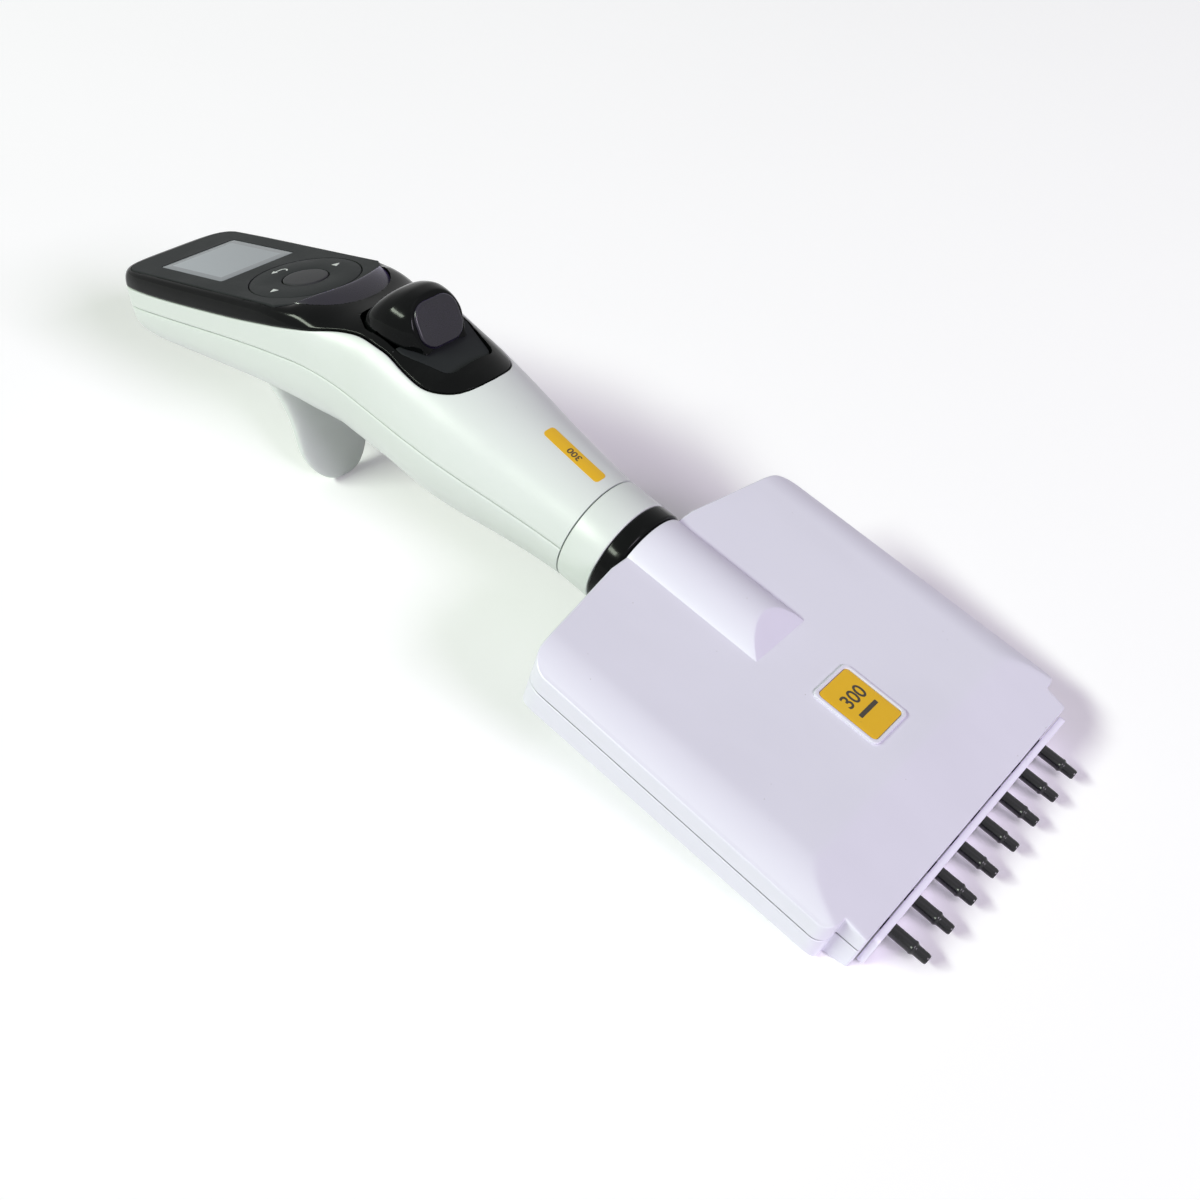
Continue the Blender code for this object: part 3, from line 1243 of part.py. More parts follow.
def build_back_fittings(shop, looks, shell):
    """Battery cover with its screw, and the charging contacts, in the back shell."""
    hollow = shop.cutters.objects["housing_hollow"]
    place = (COVER_FAR, COVER_LENGTH, COVER_HALF_WIDTH)
    low, high = -45, -14
    cover = shop.add("battery_cover", handle_skin("battery_cover"), looks["white"])
    outline = label_outline(*place, 0.0, COVER_CORNER)
    boolean(cover, zone(shop, "cover_zone", outline, low, high, 'XY', shop.panel), 'INTERSECT')
    boolean(cover, hollow, 'DIFFERENCE')
    outline = label_outline(*place, GAP, COVER_CORNER)
    boolean(shell, zone(shop, "cover_gap", outline, low, high, 'XY', shop.panel), 'DIFFERENCE')
    place = (COVER_FAR + COVER_SCREW_INSET, 0.0)
    hole = post("cover_screw_hole", COVER_SCREW_RADIUS + GAP, low, -10, place, BORE_STEPS)
    boolean(cover, shop.cutter("cover_screw_hole", hole, shop.panel), 'DIFFERENCE')
    screw = post("battery_cover_screw", COVER_SCREW_RADIUS, COVER_SCREW_HEAD,
                 COVER_SCREW_HEAD + COVER_SCREW_LENGTH, place, BORE_STEPS)
    shop.add("battery_cover_screw", screw, looks["metal"], shop.panel)

    low, high = -30, -10
    for i, x in enumerate(CONTACT_PLACES, 1):
        place = (x, CONTACT_LENGTH, CONTACT_HALF_WIDTH)
        contact = shop.add(f"charge_contact_{i}", handle_skin("charge_contact"), looks["gold"])
        outline = label_outline(*place, 0.0, CONTACT_CORNER)
        boolean(contact, zone(shop, f"contact_zone_{i}", outline, low, high, 'XY'), 'INTERSECT')
        boolean(contact, hollow, 'DIFFERENCE')
        outline = label_outline(*place, GAP, CONTACT_CORNER)
        boolean(shell, zone(shop, f"contact_gap_{i}", outline, low, high, 'XY'), 'DIFFERENCE')


def lay_on_bench(shop, angle):
    """Tilt the tool to its resting angle and put the middle of its base on the origin."""
    shop.tool.rotation_euler = (0, angle, 0)
    bpy.context.view_layer.update()
    graph = bpy.context.evaluated_depsgraph_get()
    low = Vector((math.inf,) * 3)
    high = -low
    for item in shop.parts.objects:
        evaluated = item.evaluated_get(graph)
        mesh = evaluated.to_mesh()
        for vert in mesh.vertices:
            place = item.matrix_world @ vert.co
            low = Vector(map(min, low, place))
            high = Vector(map(max, high, place))
        evaluated.to_mesh_clear()
    shop.tool.location = (-(low.x + high.x) / 2, -(low.y + high.y) / 2, -low.z)
    bpy.context.view_layer.update()


def make_looks():
    """The materials of the pipette."""
    return {
        "white": finish("housing_white", HOUSING_WHITE, 0.32),
        "black": finish("gloss_black", GLOSS_BLACK, 0.12),
        "grey": finish("matte_grey", MATTE_GREY, 0.55),
        "button": finish("button_grey", (0.09, 0.09, 0.095), 0.45),
        "lens": finish("lcd_lens", (0.42, 0.46, 0.52), 0.25),
        "purple": finish("satin_purple_black", (0.018, 0.013, 0.03), 0.35),
        "fitting": finish("fitting_black", (0.012, 0.012, 0.014), 0.4),
        "yellow": finish("plate_yellow", (0.85, 0.50, 0.03), 0.4),
        "metal": finish("steel", (0.55, 0.55, 0.56), 0.35, 1.0),
        "gold": finish("contact_gold", (0.83, 0.62, 0.28), 0.3, 1.0),
        "frame": finish("frame_grey", (0.25, 0.26, 0.27), 0.5),
        "rubber": finish("rubber", (0.03, 0.03, 0.03), 0.7),
        "board": finish("circuit_board", (0.02, 0.16, 0.07), 0.5),
        "battery": finish("battery_wrap", (0.05, 0.12, 0.35), 0.4),
    }


def main():
    """Build the pipette and lay it on the bench."""
    clear_scene()
    shop = Workshop()
    looks = make_looks()
    angle = rest_tilt()
    front_shell, back_shell, bezel = build_housing(shop, looks)
    build_panel(shop, looks, bezel)
    build_controls(shop, looks)
    build_electronics(shop, looks)
    build_lever(shop, looks, front_shell, bezel)
    build_slider(shop, looks)
    build_spring(shop, looks)
    build_drive(shop, looks)
    build_coupling(shop, looks)
    head_cover_front = build_head(shop, looks, angle)
    build_block(shop, looks)
    build_pistons(shop, looks)
    build_fittings(shop, looks)
    build_stripper(shop, looks)
    build_number_plate(shop, looks, head_cover_front)
    build_volume_plate(shop, looks, front_shell)
    build_back_fittings(shop, looks, back_shell)
    lay_on_bench(shop, angle)


main()
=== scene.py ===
"""Looks of an electronic multichannel pipette that lies on a bench.

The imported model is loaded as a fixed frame. Each sub-assembly below is a class that
holds its sizes in millimetres, works its surfaces out with numpy on the tool's own
axes, and dresses them. +X of those axes runs to the tips and +Z is the display side.
"""

import logging
import math
from dataclasses import dataclass, field
from enum import Enum
from typing import Any, Callable, Iterable, Optional, Sequence, Union

import bmesh
import bpy
import numpy as np
from mathutils import Matrix


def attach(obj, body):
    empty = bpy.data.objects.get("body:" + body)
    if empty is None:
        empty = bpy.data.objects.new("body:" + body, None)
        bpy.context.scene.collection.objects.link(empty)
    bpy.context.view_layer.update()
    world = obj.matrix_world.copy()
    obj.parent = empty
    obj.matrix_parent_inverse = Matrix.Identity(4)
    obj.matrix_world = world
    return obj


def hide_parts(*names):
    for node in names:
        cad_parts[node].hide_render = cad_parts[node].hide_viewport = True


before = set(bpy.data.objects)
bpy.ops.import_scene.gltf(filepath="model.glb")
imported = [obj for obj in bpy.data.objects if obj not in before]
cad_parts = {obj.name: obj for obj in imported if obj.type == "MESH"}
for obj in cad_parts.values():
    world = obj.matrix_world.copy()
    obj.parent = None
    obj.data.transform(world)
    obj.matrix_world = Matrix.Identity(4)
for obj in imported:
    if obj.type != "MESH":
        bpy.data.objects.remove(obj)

LOG = logging.getLogger("pipette")
MM = 0.001
Number = Union[int, float]
Colour = tuple[float, float, float]
Array = np.ndarray
Change = Callable[[Array], Array]


# Shader nodes


class Value:
    """A number socket on which Python's operators add Math nodes."""

    def __init__(self, tree: "Tree", socket: bpy.types.NodeSocket) -> None:
        """Keep the tree and the socket."""
        self.tree = tree
        self.socket = socket

    def _math(self, operation: str, first: Any, second: Any) -> "Value":
        """Return the result of one Math node."""
        return self.tree.add("ShaderNodeMath", {"operation": operation}, {0: first, 1: second})

    def __add__(self, other: Any) -> "Value":
        """Return self + other."""
        return self._math("ADD", self, other)

    def __radd__(self, other: Any) -> "Value":
        """Return other + self."""
        return self._math("ADD", other, self)

    def __sub__(self, other: Any) -> "Value":
        """Return self - other."""
        return self._math("SUBTRACT", self, other)

    def __rsub__(self, other: Any) -> "Value":
        """Return other - self."""
        return self._math("SUBTRACT", other, self)

    def __mul__(self, other: Any) -> "Value":
        """Return self * other."""
        return self._math("MULTIPLY", self, other)

    def __rmul__(self, other: Any) -> "Value":
        """Return other * self."""
        return self._math("MULTIPLY", other, self)

    def __abs__(self) -> "Value":
        """Return the size of the value."""
        return self._math("ABSOLUTE", self, 0.0)

    def above(self, level: Number) -> "Value":
        """Return 1 where the value is above a level, and 0 elsewhere."""
        return self._math("GREATER_THAN", self, level)

    def wave(self) -> "Value":
        """Return the sine of the value."""
        return self._math("SINE", self, 0.0)

    def between(self, low: Number, high: Number) -> "Value":
        """Map low to 0 and high to 1, smoothly, and hold both ends.

        Args:
            low: value that becomes 0.
            high: value that becomes 1.

        Returns:
            The mapped value.
        """
        settings = {"interpolation_type": "SMOOTHSTEP"}
        return self.tree.add("ShaderNodeMapRange", settings, {0: self, 1: low, 2: high, 3: 0.0, 4: 1.0})


class Tree:
    """The node tree of a material or world, and the one method that adds nodes to it."""

    def __init__(self, owner: Union[bpy.types.Material, bpy.types.World],
                 shader: str = "ShaderNodeBsdfPrincipled", output: str = "ShaderNodeOutputMaterial") -> None:
        """Empty the owner's tree and add its shader and output.

        Args:
            owner: the material or world to write in.
            shader: type of the node that feeds the output.
            output: type of the output node.
        """
        owner.use_nodes = True
        self.nodes = owner.node_tree.nodes
        self.links = owner.node_tree.links
        self.nodes.clear()
        self.shader = self.nodes.new(shader)
        self.links.new(self.shader.outputs[0], self.nodes.new(output).inputs[0])

    def set(self, socket: bpy.types.NodeSocket, value: Any) -> None:
        """Link or write a value into a socket.

        Args:
            socket: the input to feed.
            value: a Value, a number, a colour or a vector.
        """
        if isinstance(value, Value):
            self.links.new(value.socket, socket)
        elif socket.type == "RGBA":
            socket.default_value = (*value, 1.0)
        else:
            socket.default_value = value

    def add(self, kind: str, settings: dict[str, Any], sockets: dict[Any, Any],
            output: Union[int, str] = 0) -> Value:
        """Add a node.

        Args:
            kind: the node's type.
            settings: properties of the node, set before its sockets.
            sockets: values or links by the socket's index or name.
            output: the output to return.

        Returns:
            The output as a Value.
        """
        node = self.nodes.new(kind)
        for name, value in settings.items():
            setattr(node, name, value)
        for name, value in sockets.items():
            self.set(node.inputs[name], value)
        return Value(self, node.outputs[output])

    def place(self) -> Value:
        """Return the object coordinates, in metres."""
        return self.add("ShaderNodeTexCoord", {}, {}, "Object")

    def noise(self, size: float, detail: float = 2.0, roughness: float = 0.5,
              stretch: tuple[float, float, float] = (1.0, 1.0, 1.0)) -> Value:
        """Return noise between 0 and 1.

        Args:
            size: width of a blotch in millimetres.
            detail: octaves.
            roughness: strength of the finer octaves.
            stretch: how much finer the noise is along each axis.

        Returns:
            The noise.
        """
        scaled = self.add("ShaderNodeVectorMath", {"operation": "MULTIPLY"}, {0: self.place(), 1: stretch})
        sockets = {"Vector": scaled, "Scale": 1 / (size * MM), "Detail": detail, "Roughness": roughness}
        return self.add("ShaderNodeTexNoise", {}, sockets, 0)

    def cells(self, size: float) -> Value:
        """Return the distance to scattered points, in cell widths.

        Args:
            size: distance between the points in millimetres.

        Returns:
            The distance.
        """
        sockets = {"Vector": self.place(), "Scale": 1 / (size * MM)}
        return self.add("ShaderNodeTexVoronoi", {}, sockets, "Distance")

    def seen(self) -> Value:
        """Return 1 for rays of the camera, of reflections and through glass, 0 for light."""
        camera, glossy, through = [self.add("ShaderNodeLightPath", {}, {}, f"Is {ray} Ray")
                                   for ray in ("Camera", "Glossy", "Transmission")]
        return camera + glossy + through

    def blend(self, factor: Any, first: Any, second: Any) -> Value:
        """Mix two colours.

        Args:
            factor: 0 gives the first colour, 1 the second.
            first: a colour.
            second: a colour.

        Returns:
            The mixed colour.
        """
        settings = {"data_type": "RGBA"}
        return self.add("ShaderNodeMix", settings, {0: factor, 6: first, 7: second}, 2)

    def bump(self, height: Value, depth: float) -> None:
        """Feed a height to the shader's normal.

        Args:
            height: the height, from 0 to 1.
            depth: millimetres between 0 and 1.
        """
        normal = self.add("ShaderNodeBump", {}, {"Strength": 1.0, "Distance": depth * MM, "Height": height})
        self.set(self.shader.inputs["Normal"], normal)

    def surface(self, **sockets: Any) -> None:
        """Write the shader's inputs, named with underscores for spaces."""
        for name, value in sockets.items():
            self.set(self.shader.inputs[name.replace("_", " ")], value)


# Finishes


@dataclass(frozen=True)
class Finish:
    """A finish that a piece is made in."""

    name: str
    colour: Colour

    def material(self) -> bpy.types.Material:
        """Return the finish's material, made once."""
        found = bpy.data.materials.get("look_" + self.name)
        if found is not None:
            return found
        material = bpy.data.materials.new("look_" + self.name)
        self.write(Tree(material))
        material.diffuse_color = (*self.colour, 1.0)
        return material

    def write(self, tree: Tree) -> None:
        """Write the finish into a tree."""
        tree.surface(Base_Color=self.colour)

    def tinted(self, tree: Tree, amount: Any, other: Colour) -> Value:
        """Return the colour blended towards another one."""
        return tree.blend(amount, self.colour, other)


@dataclass(frozen=True)
class Moulding(Finish):
    """Injection moulded plastic: fine grain, faint flow marks and specks of dust."""

    roughness: float = 0.3
    grain: float = 0.35
    depth: float = 0.004
    speck: Colour = (0.35, 0.33, 0.34)
    coat: float = 0.0

    def write(self, tree: Tree) -> None:
        """Write grain, flow marks, smudges and sparse specks."""
        flow = tree.noise(28.0, 3.0, 0.6, (0.5, 1.0, 1.0))
        smudge = tree.noise(9.0, 4.0, 0.65)
        shade = tuple(part * 0.93 for part in self.colour)
        base = tree.blend(flow.between(0.35, 0.75) * 0.5, self.colour, shade)
        sparse = tree.noise(14.0, 1.0).above(0.56)
        speck = tree.cells(3.4).between(0.045, 0.02) * sparse
        base = tree.blend(speck * 0.75, base, self.speck)
        rough = self.roughness + (smudge - 0.5) * 0.12
        tree.surface(Base_Color=base, Roughness=rough, Coat_Weight=self.coat, Coat_Roughness=0.08,
                     Specular_IOR_Level=0.5)
        tree.bump(tree.noise(self.grain, 3.0, 0.6), self.depth)


@dataclass(frozen=True)
class Gloss(Finish):
    """Polished black plastic with a clear film, faint smears and a few specks."""

    roughness: float = 0.12
    smear: Colour = (0.010, 0.011, 0.011)

    def write(self, tree: Tree) -> None:
        """Write smears, hairline wear and specks over a polished ground."""
        smear = tree.noise(11.0, 5.0, 0.7, (1.0, 0.5, 1.0)).between(0.45, 0.8)
        hair = tree.noise(0.6, 2.0, 0.5, (0.05, 1.0, 1.0)).between(0.6, 0.75)
        speck = tree.cells(3.0).between(0.04, 0.02) * tree.noise(12.0, 1.0).above(0.57)
        base = tree.blend(smear * 0.35, self.colour, self.smear)
        base = tree.blend(speck * 0.5, base, (0.3, 0.3, 0.32))
        rough = self.roughness + smear * 0.08 + hair * 0.04 + speck * 0.3
        tree.surface(Base_Color=base, Roughness=rough, Coat_Weight=0.02, Coat_Roughness=0.04,
                     Specular_IOR_Level=0.09)
        tree.bump(tree.noise(3.0, 2.0) + hair * 0.08, 0.01)


@dataclass(frozen=True)
class Overlay(Finish):
    """Matte printed film: dense fine texture that scatters the light."""

    roughness: float = 0.52
    grain: float = 0.16
    lift: float = 0.25

    def write(self, tree: Tree) -> None:
        """Write a sandy grain, uneven matting and light rubbing."""
        grain = tree.noise(self.grain, 2.0, 0.7)
        rub = tree.noise(16.0, 4.0, 0.6).between(0.4, 0.8)
        light = tuple(part * (1 + self.lift) for part in self.colour)
        base = tree.blend(grain.between(0.35, 0.7) * 0.6, self.colour, light)
        tree.surface(Base_Color=base, Roughness=self.roughness - rub * 0.1 + grain * 0.06,
                     Specular_IOR_Level=0.08)
        tree.bump(grain, 0.006)


@dataclass(frozen=True)
class SoftTouch(Finish):
    """Satin soft-touch paint with a violet sheen where the light grazes it."""

    roughness: float = 0.26
    rubbed: Colour = (0.010, 0.0075, 0.018)
    sheen: Colour = (0.42, 0.26, 1.0)

    def write(self, tree: Tree) -> None:
        """Write the sheen, a fine grain and handling wear."""
        grain = tree.noise(0.2, 2.0, 0.6)
        wear = tree.noise(5.0, 4.0, 0.6).between(0.45, 0.75)
        tree.surface(Base_Color=self.tinted(tree, wear * 0.8, self.rubbed),
                     Roughness=self.roughness - wear * 0.1 + grain * 0.05, Specular_IOR_Level=0.5,
                     Sheen_Weight=0.16, Sheen_Roughness=0.35, Sheen_Tint=self.sheen)
        tree.bump(grain, 0.004)


@dataclass(frozen=True)
class Metal(Finish):
    """Drawn or turned metal with fine lines across one axis."""

    roughness: float = 0.3
    lines: float = 0.12

    def write(self, tree: Tree) -> None:
        """Write turning lines and slight tarnish."""
        line = tree.noise(self.lines, 2.0, 0.5, (1.0, 0.05, 0.05))
        tarnish = tree.noise(6.0, 4.0, 0.6).between(0.4, 0.8)
        dull = tuple(part * 0.7 for part in self.colour)
        tree.surface(Base_Color=self.tinted(tree, tarnish * 0.4, dull), Metallic=1.0,
                     Roughness=self.roughness + line * 0.12)
        tree.bump(line, 0.002)


@dataclass(frozen=True)
class Window(Finish):
    """Display window: a pale reflective cell with a lit field inside a darker rim."""

    centre: tuple[float, float, float] = (0.0, 0.0, 0.0)
    along: tuple[float, float, float] = (1.0, 0.0, 0.0)
    half_length: float = 12.6
    half_width: float = 11.5
    rim: Colour = (0.20, 0.215, 0.24)

    def write(self, tree: Tree) -> None:
        """Write the field, the rim, a painted shade gradient and the cell's dot pitch."""
        shift = tree.add("ShaderNodeVectorMath", {"operation": "SUBTRACT"},
                         {0: tree.place(), 1: self.centre})
        scaled = tuple(part / MM for part in self.along)
        dot = {"operation": "DOT_PRODUCT"}
        long = tree.add("ShaderNodeVectorMath", dot, {0: shift, 1: scaled}, "Value")
        wide = tree.add("ShaderNodeVectorMath", dot, {0: shift, 1: (0.0, 1 / MM, 0.0)}, "Value")
        inner_long = abs(long + 0.4).between(self.half_length - 2.3, self.half_length - 2.7)
        inner_wide = abs(wide).between(self.half_width - 1.9, self.half_width - 2.3)
        lit = inner_long * inner_wide
        # Painted shade: the glass darkens by up to a fifth towards +Y and towards the tips.
        slope = (wide + long * 0.5).between(-16.0, 14.0)
        ground = tree.blend(slope * 0.7, self.colour, tuple(part * 0.72 for part in self.colour))
        base = tree.blend(1 - lit, ground, self.rim)
        dots = (long * 18.0).wave() * (wide * 18.0).wave()
        tree.surface(Base_Color=base, Roughness=0.22 + dots * 0.02, Coat_Weight=0.25, Coat_Roughness=0.05,
                     Specular_IOR_Level=0.25)


@dataclass(frozen=True)
class Floor(Finish):
    """Bench top that takes the shadow and shows as plain white to the camera."""

    lift: float = 0.13

    def write(self, tree: Tree) -> None:
        """Write a barely uneven matte surface, lifted a little where the camera sees it."""
        cloud = tree.noise(120.0, 3.0, 0.5)
        dimmer = tuple(part * 0.985 for part in self.colour)
        glow = tree.blend(tree.seen(), (0.0, 0.0, 0.0), (1.0, 1.0, 1.0))
        tree.surface(Base_Color=self.tinted(tree, cloud, dimmer), Roughness=0.9, Specular_IOR_Level=0.05,
                     Emission_Color=glow, Emission_Strength=self.lift)


class Looks(Enum):
    """The finishes, most of them named after a slot of the record."""

    # Painted light: the head's white is tinted violet, as its tops are lit violet; it is the same white
    # plastic as the handle's.
    WHITE_PAINTED_VIOLET = Moulding("housing_white", (0.715, 0.70, 0.80), 0.36)
    # Painted shade and light: the handle's white is the same plastic, painted darker and tinted mint for its
    # sides under the key light.
    SHELL_PAINTED_SHADE = Moulding("shell_painted_shade_mint", (0.635, 0.67, 0.65), 0.36)
    # Painted light: the stripper plate's white is the same plastic, painted lighter and more violet as if lit
    # from the tips' side.
    BAR_PAINTED_LIGHT = Moulding("bar_painted_light", (0.84, 0.80, 0.95), 0.36)
    BLACK = Gloss("gloss_black", (0.0025, 0.003, 0.003))
    GREY = Overlay("matte_grey", (0.018, 0.020, 0.021))
    BUTTON = Overlay("button_grey", (0.034, 0.034, 0.037), 0.42, 0.2)
    VIOLET = SoftTouch("satin_purple_black", (0.006, 0.0045, 0.011))
    FITTING = Moulding("fitting_black", (0.003, 0.003, 0.005), 0.24, 0.15, 0.002, (0.03, 0.03, 0.035))
    YELLOW = Moulding("plate_yellow", (0.72, 0.42, 0.012), 0.42, 0.22, 0.003, (0.4, 0.25, 0.03))
    PRINT = Overlay("label_print", (0.07, 0.062, 0.05), 0.5, 0.1)
    ICON = Overlay("icon_print", (0.62, 0.64, 0.63), 0.5, 0.1)
    STEEL = Metal("steel", (0.55, 0.55, 0.56))
    GOLD = Metal("contact_gold", (0.83, 0.62, 0.28), 0.25, 0.08)
    FRAME = Moulding("frame_grey", (0.22, 0.23, 0.24), 0.45, 0.3, 0.006)
    RUBBER = Overlay("rubber", (0.025, 0.025, 0.026), 0.72, 0.25)
    BOARD = Overlay("circuit_board", (0.015, 0.13, 0.06), 0.4, 0.5, 0.8)
    WRAP = Moulding("battery_wrap", (0.03, 0.09, 0.3), 0.3, 0.5, 0.008)


RECORD_SLOTS = {name: name for name in (
    "housing_white", "gloss_black", "matte_grey", "button_grey", "satin_purple_black", "fitting_black",
    "plate_yellow", "steel", "contact_gold", "frame_grey", "rubber", "circuit_board", "battery_wrap")}
RECORD_SLOTS |= {"shell_painted_shade_mint": "housing_white", "bar_painted_light": "housing_white", "display_glass": "lcd_lens"}


# Axes and surfaces


@dataclass(frozen=True)
class Axes:
    """Axes turned about Y, whose origin is given in metres of the row frame."""

    origin: tuple[float, float, float]
    lean: float

    def place(self, points: Union[Array, Sequence[float]]) -> Array:
        """Turn millimetres on these axes into metres of the row frame.

        Args:
            points: an array whose last side holds x, y and z.

        Returns:
            The turned and moved points.
        """
        cosine, sine = math.cos(math.radians(self.lean)), math.sin(math.radians(self.lean))
        x, y, z = np.moveaxis(np.asarray(points, float), -1, 0)
        turned = np.stack([cosine * x + sine * z, y, cosine * z - sine * x], -1)
        return turned * MM + np.array(self.origin)

    def direction(self) -> tuple[float, float, float]:
        """Return the X axis in the row frame."""
        angle = math.radians(self.lean)
        return (math.cos(angle), 0.0, -math.sin(angle))


REST_TILT = 12.83197
PANEL_TILT = 25.2
PAD_TILT = 49.0
WHEEL_MIDDLE = (-197.5, 0.0, 4.05)
PAD_MIDDLE = (-155.4, 0.0, 20.3)
TOOL = Axes((0.1180595, 0.0, 0.0050214), REST_TILT)
PANEL = Axes(tuple(TOOL.place(WHEEL_MIDDLE)), REST_TILT - PANEL_TILT)
PAD = Axes(tuple(TOOL.place(PAD_MIDDLE)), REST_TILT + PAD_TILT)


def points_of(*parts: Any) -> Array:
    """Stack x, y and z, broadcast against each other, into an array of points."""
    return np.stack(np.broadcast_arrays(*[np.asarray(part, float) for part in parts]), -1)


def eased(places: Sequence[float], values: Sequence[float], wanted: Array) -> Array:
    """Interpolate without overshoot.

    Between two places the value follows a cubic whose slopes at the places are the
    harmonic means of the neighbouring slopes, and zero where those change sign.

    Args:
        places: rising places.
        values: the values there.
        wanted: where the values are wanted.

    Returns:
        The interpolated values.
    """
    x, y = np.asarray(places, float), np.asarray(values, float)
    step = np.diff(x)
    slope = np.diff(y) / step
    inner = np.zeros(len(x) - 2)
    same = slope[1:] * slope[:-1] > 0
    first, second = 2 * step[1:] + step[:-1], step[1:] + 2 * step[:-1]
    total = first + second
    inner[same] = (total / (first / np.where(slope[:-1] == 0, 1, slope[:-1])
                            + second / np.where(slope[1:] == 0, 1, slope[1:])))[same]
    tangent = np.concatenate([[slope[0]], inner, [slope[-1]]])
    w = np.clip(np.asarray(wanted, float), x[0], x[-1])
    i = np.clip(np.searchsorted(x, w, "right") - 1, 0, len(x) - 2)
    t = (w - x[i]) / step[i]
    return ((1 + 2 * t) * (1 - t) ** 2 * y[i] + t * (1 - t) ** 2 * step[i] * tangent[i]
            + t * t * (3 - 2 * t) * y[i + 1] + t * t * (t - 1) * step[i] * tangent[i + 1])


def step_between(low: float, high: float, value: Array) -> Array:
    """Rise smoothly from 0 at low to 1 at high."""
    t = np.clip((value - low) / (high - low), 0, 1)
    return t * t * (3 - 2 * t)


def rounded_outline(corners: Sequence[tuple[float, float, float]], spacing: float = 0.35) -> Array:
    """Points of a closed outline from (u, v, radius) corners.

    Each corner becomes the arc of its radius that touches both sides, and the whole
    outline is then cut into steps of about the spacing.

    Args:
        corners: the corners in order.
        spacing: distance between points.

    Returns:
        An (n, 2) array.
    """
    path: list[Array] = []
    count = len(corners)
    for i, (u, v, radius) in enumerate(corners):
        here = np.array((u, v))
        before = np.array(corners[i - 1][:2]) - here
        after = np.array(corners[(i + 1) % count][:2]) - here
        before = before / np.linalg.norm(before)
        after = after / np.linalg.norm(after)
        if radius <= 0:
            path.append(here[None])
            continue
        half = math.acos(float(np.clip(before @ after, -1, 1))) / 2
        centre = here + (before + after) / np.linalg.norm(before + after) * radius / math.sin(half)
        first = here + before * radius / math.tan(half) - centre
        last = here + after * radius / math.tan(half) - centre
        start = math.atan2(first[1], first[0])
        sweep = (math.atan2(last[1], last[0]) - start + math.pi) % (2 * math.pi) - math.pi
        angles = start + sweep * np.linspace(0, 1, max(4, round(abs(sweep) * radius / spacing) + 2))
        path.append(centre + radius * np.stack([np.cos(angles), np.sin(angles)], -1))
    return even(np.concatenate(path), spacing)


def even(path: Array, spacing: float) -> Array:
    """Cut a closed path into even steps, keeping its sharp corners near a point.

    Args:
        path: (n, 2) points.
        spacing: length of a step.

    Returns:
        The new points.
    """
    closed = np.vstack([path, path[:1]])
    length = np.concatenate([[0], np.cumsum(np.linalg.norm(np.diff(closed, axis=0), axis=1))])
    count = max(12, round(length[-1] / spacing))
    at = np.linspace(0, length[-1], count, endpoint=False)
    return np.stack([np.interp(at, length, closed[:, k]) for k in (0, 1)], -1)


def box(low: Sequence[float], high: Sequence[float], radius: float, spacing: float) -> Array:
    """Outline of a rectangle with rounded corners."""
    (u0, v0), (u1, v1) = low, high
    corners = [(u0, v0, radius), (u1, v0, radius), (u1, v1, radius), (u0, v1, radius)]
    return rounded_outline(corners, spacing)


def mirrored(corners: Sequence[tuple[float, float, float]]) -> list[tuple[float, float, float]]:
    """Add the mirror images of (u, v, radius) corners, in reversed order."""
    return [*corners, *((u, -v, radius) for u, v, radius in reversed(corners))]


def circle(radius: float, count: int) -> Array:
    """Outline of a circle about the origin."""
    angle = np.linspace(0, 2 * np.pi, count, endpoint=False)
    return np.stack([radius * np.cos(angle), radius * np.sin(angle)], -1)


def unit(rows: Array) -> Array:
    """Scale each row to a length of one, where it has a length."""
    return rows / np.maximum(np.linalg.norm(rows, axis=1, keepdims=True), 1e-9)


def outward(outline: Array) -> Array:
    """Normals of an outline that runs anticlockwise."""
    way = unit(np.roll(outline, -1, 0) - np.roll(outline, 1, 0))
    return np.stack([way[:, 1], -way[:, 0]], -1)


def grown(outline: Array, amount: float) -> Array:
    """Move an outline that runs anticlockwise outwards along its normals."""
    return outline + outward(outline) * amount


def outside(outline: Array, u: Array, v: Array) -> tuple[Array, Array, Array]:
    """Signed distance to a closed outline, positive outside, and the nearest point.

    The distance to each side is that to the nearest point of the segment. A point is
    inside where a ray from it crosses the outline an odd number of times.

    Args:
        outline: (n, 2) points.
        u: first coordinates.
        v: second coordinates.

    Returns:
        The distance, and the nearest point's two coordinates.
    """
    shape = u.shape
    p = np.stack([u.ravel(), v.ravel()], -1)[:, None]
    a, b = outline[None], np.roll(outline, -1, 0)[None]
    side = b - a
    share = np.clip(((p - a) * side).sum(-1) / np.maximum((side ** 2).sum(-1), 1e-12), 0, 1)
    near = a + side * share[..., None]
    gap = np.linalg.norm(p - near, axis=-1)
    best = gap.argmin(1)
    rows = np.arange(len(best))
    crosses = (a[..., 1] > p[..., 1]) != (b[..., 1] > p[..., 1])
    rise = np.where(side[..., 1] == 0, 1e-12, side[..., 1])
    at = a[..., 0] + side[..., 0] * (p[..., 1] - a[..., 1]) / rise
    inside = (crosses & (p[..., 0] < at)).sum(1) % 2 == 1
    distance = np.where(inside, -1, 1) * gap[rows, best]
    nearest = near[rows, best]
    return distance.reshape(shape), nearest[:, 0].reshape(shape), nearest[:, 1].reshape(shape)


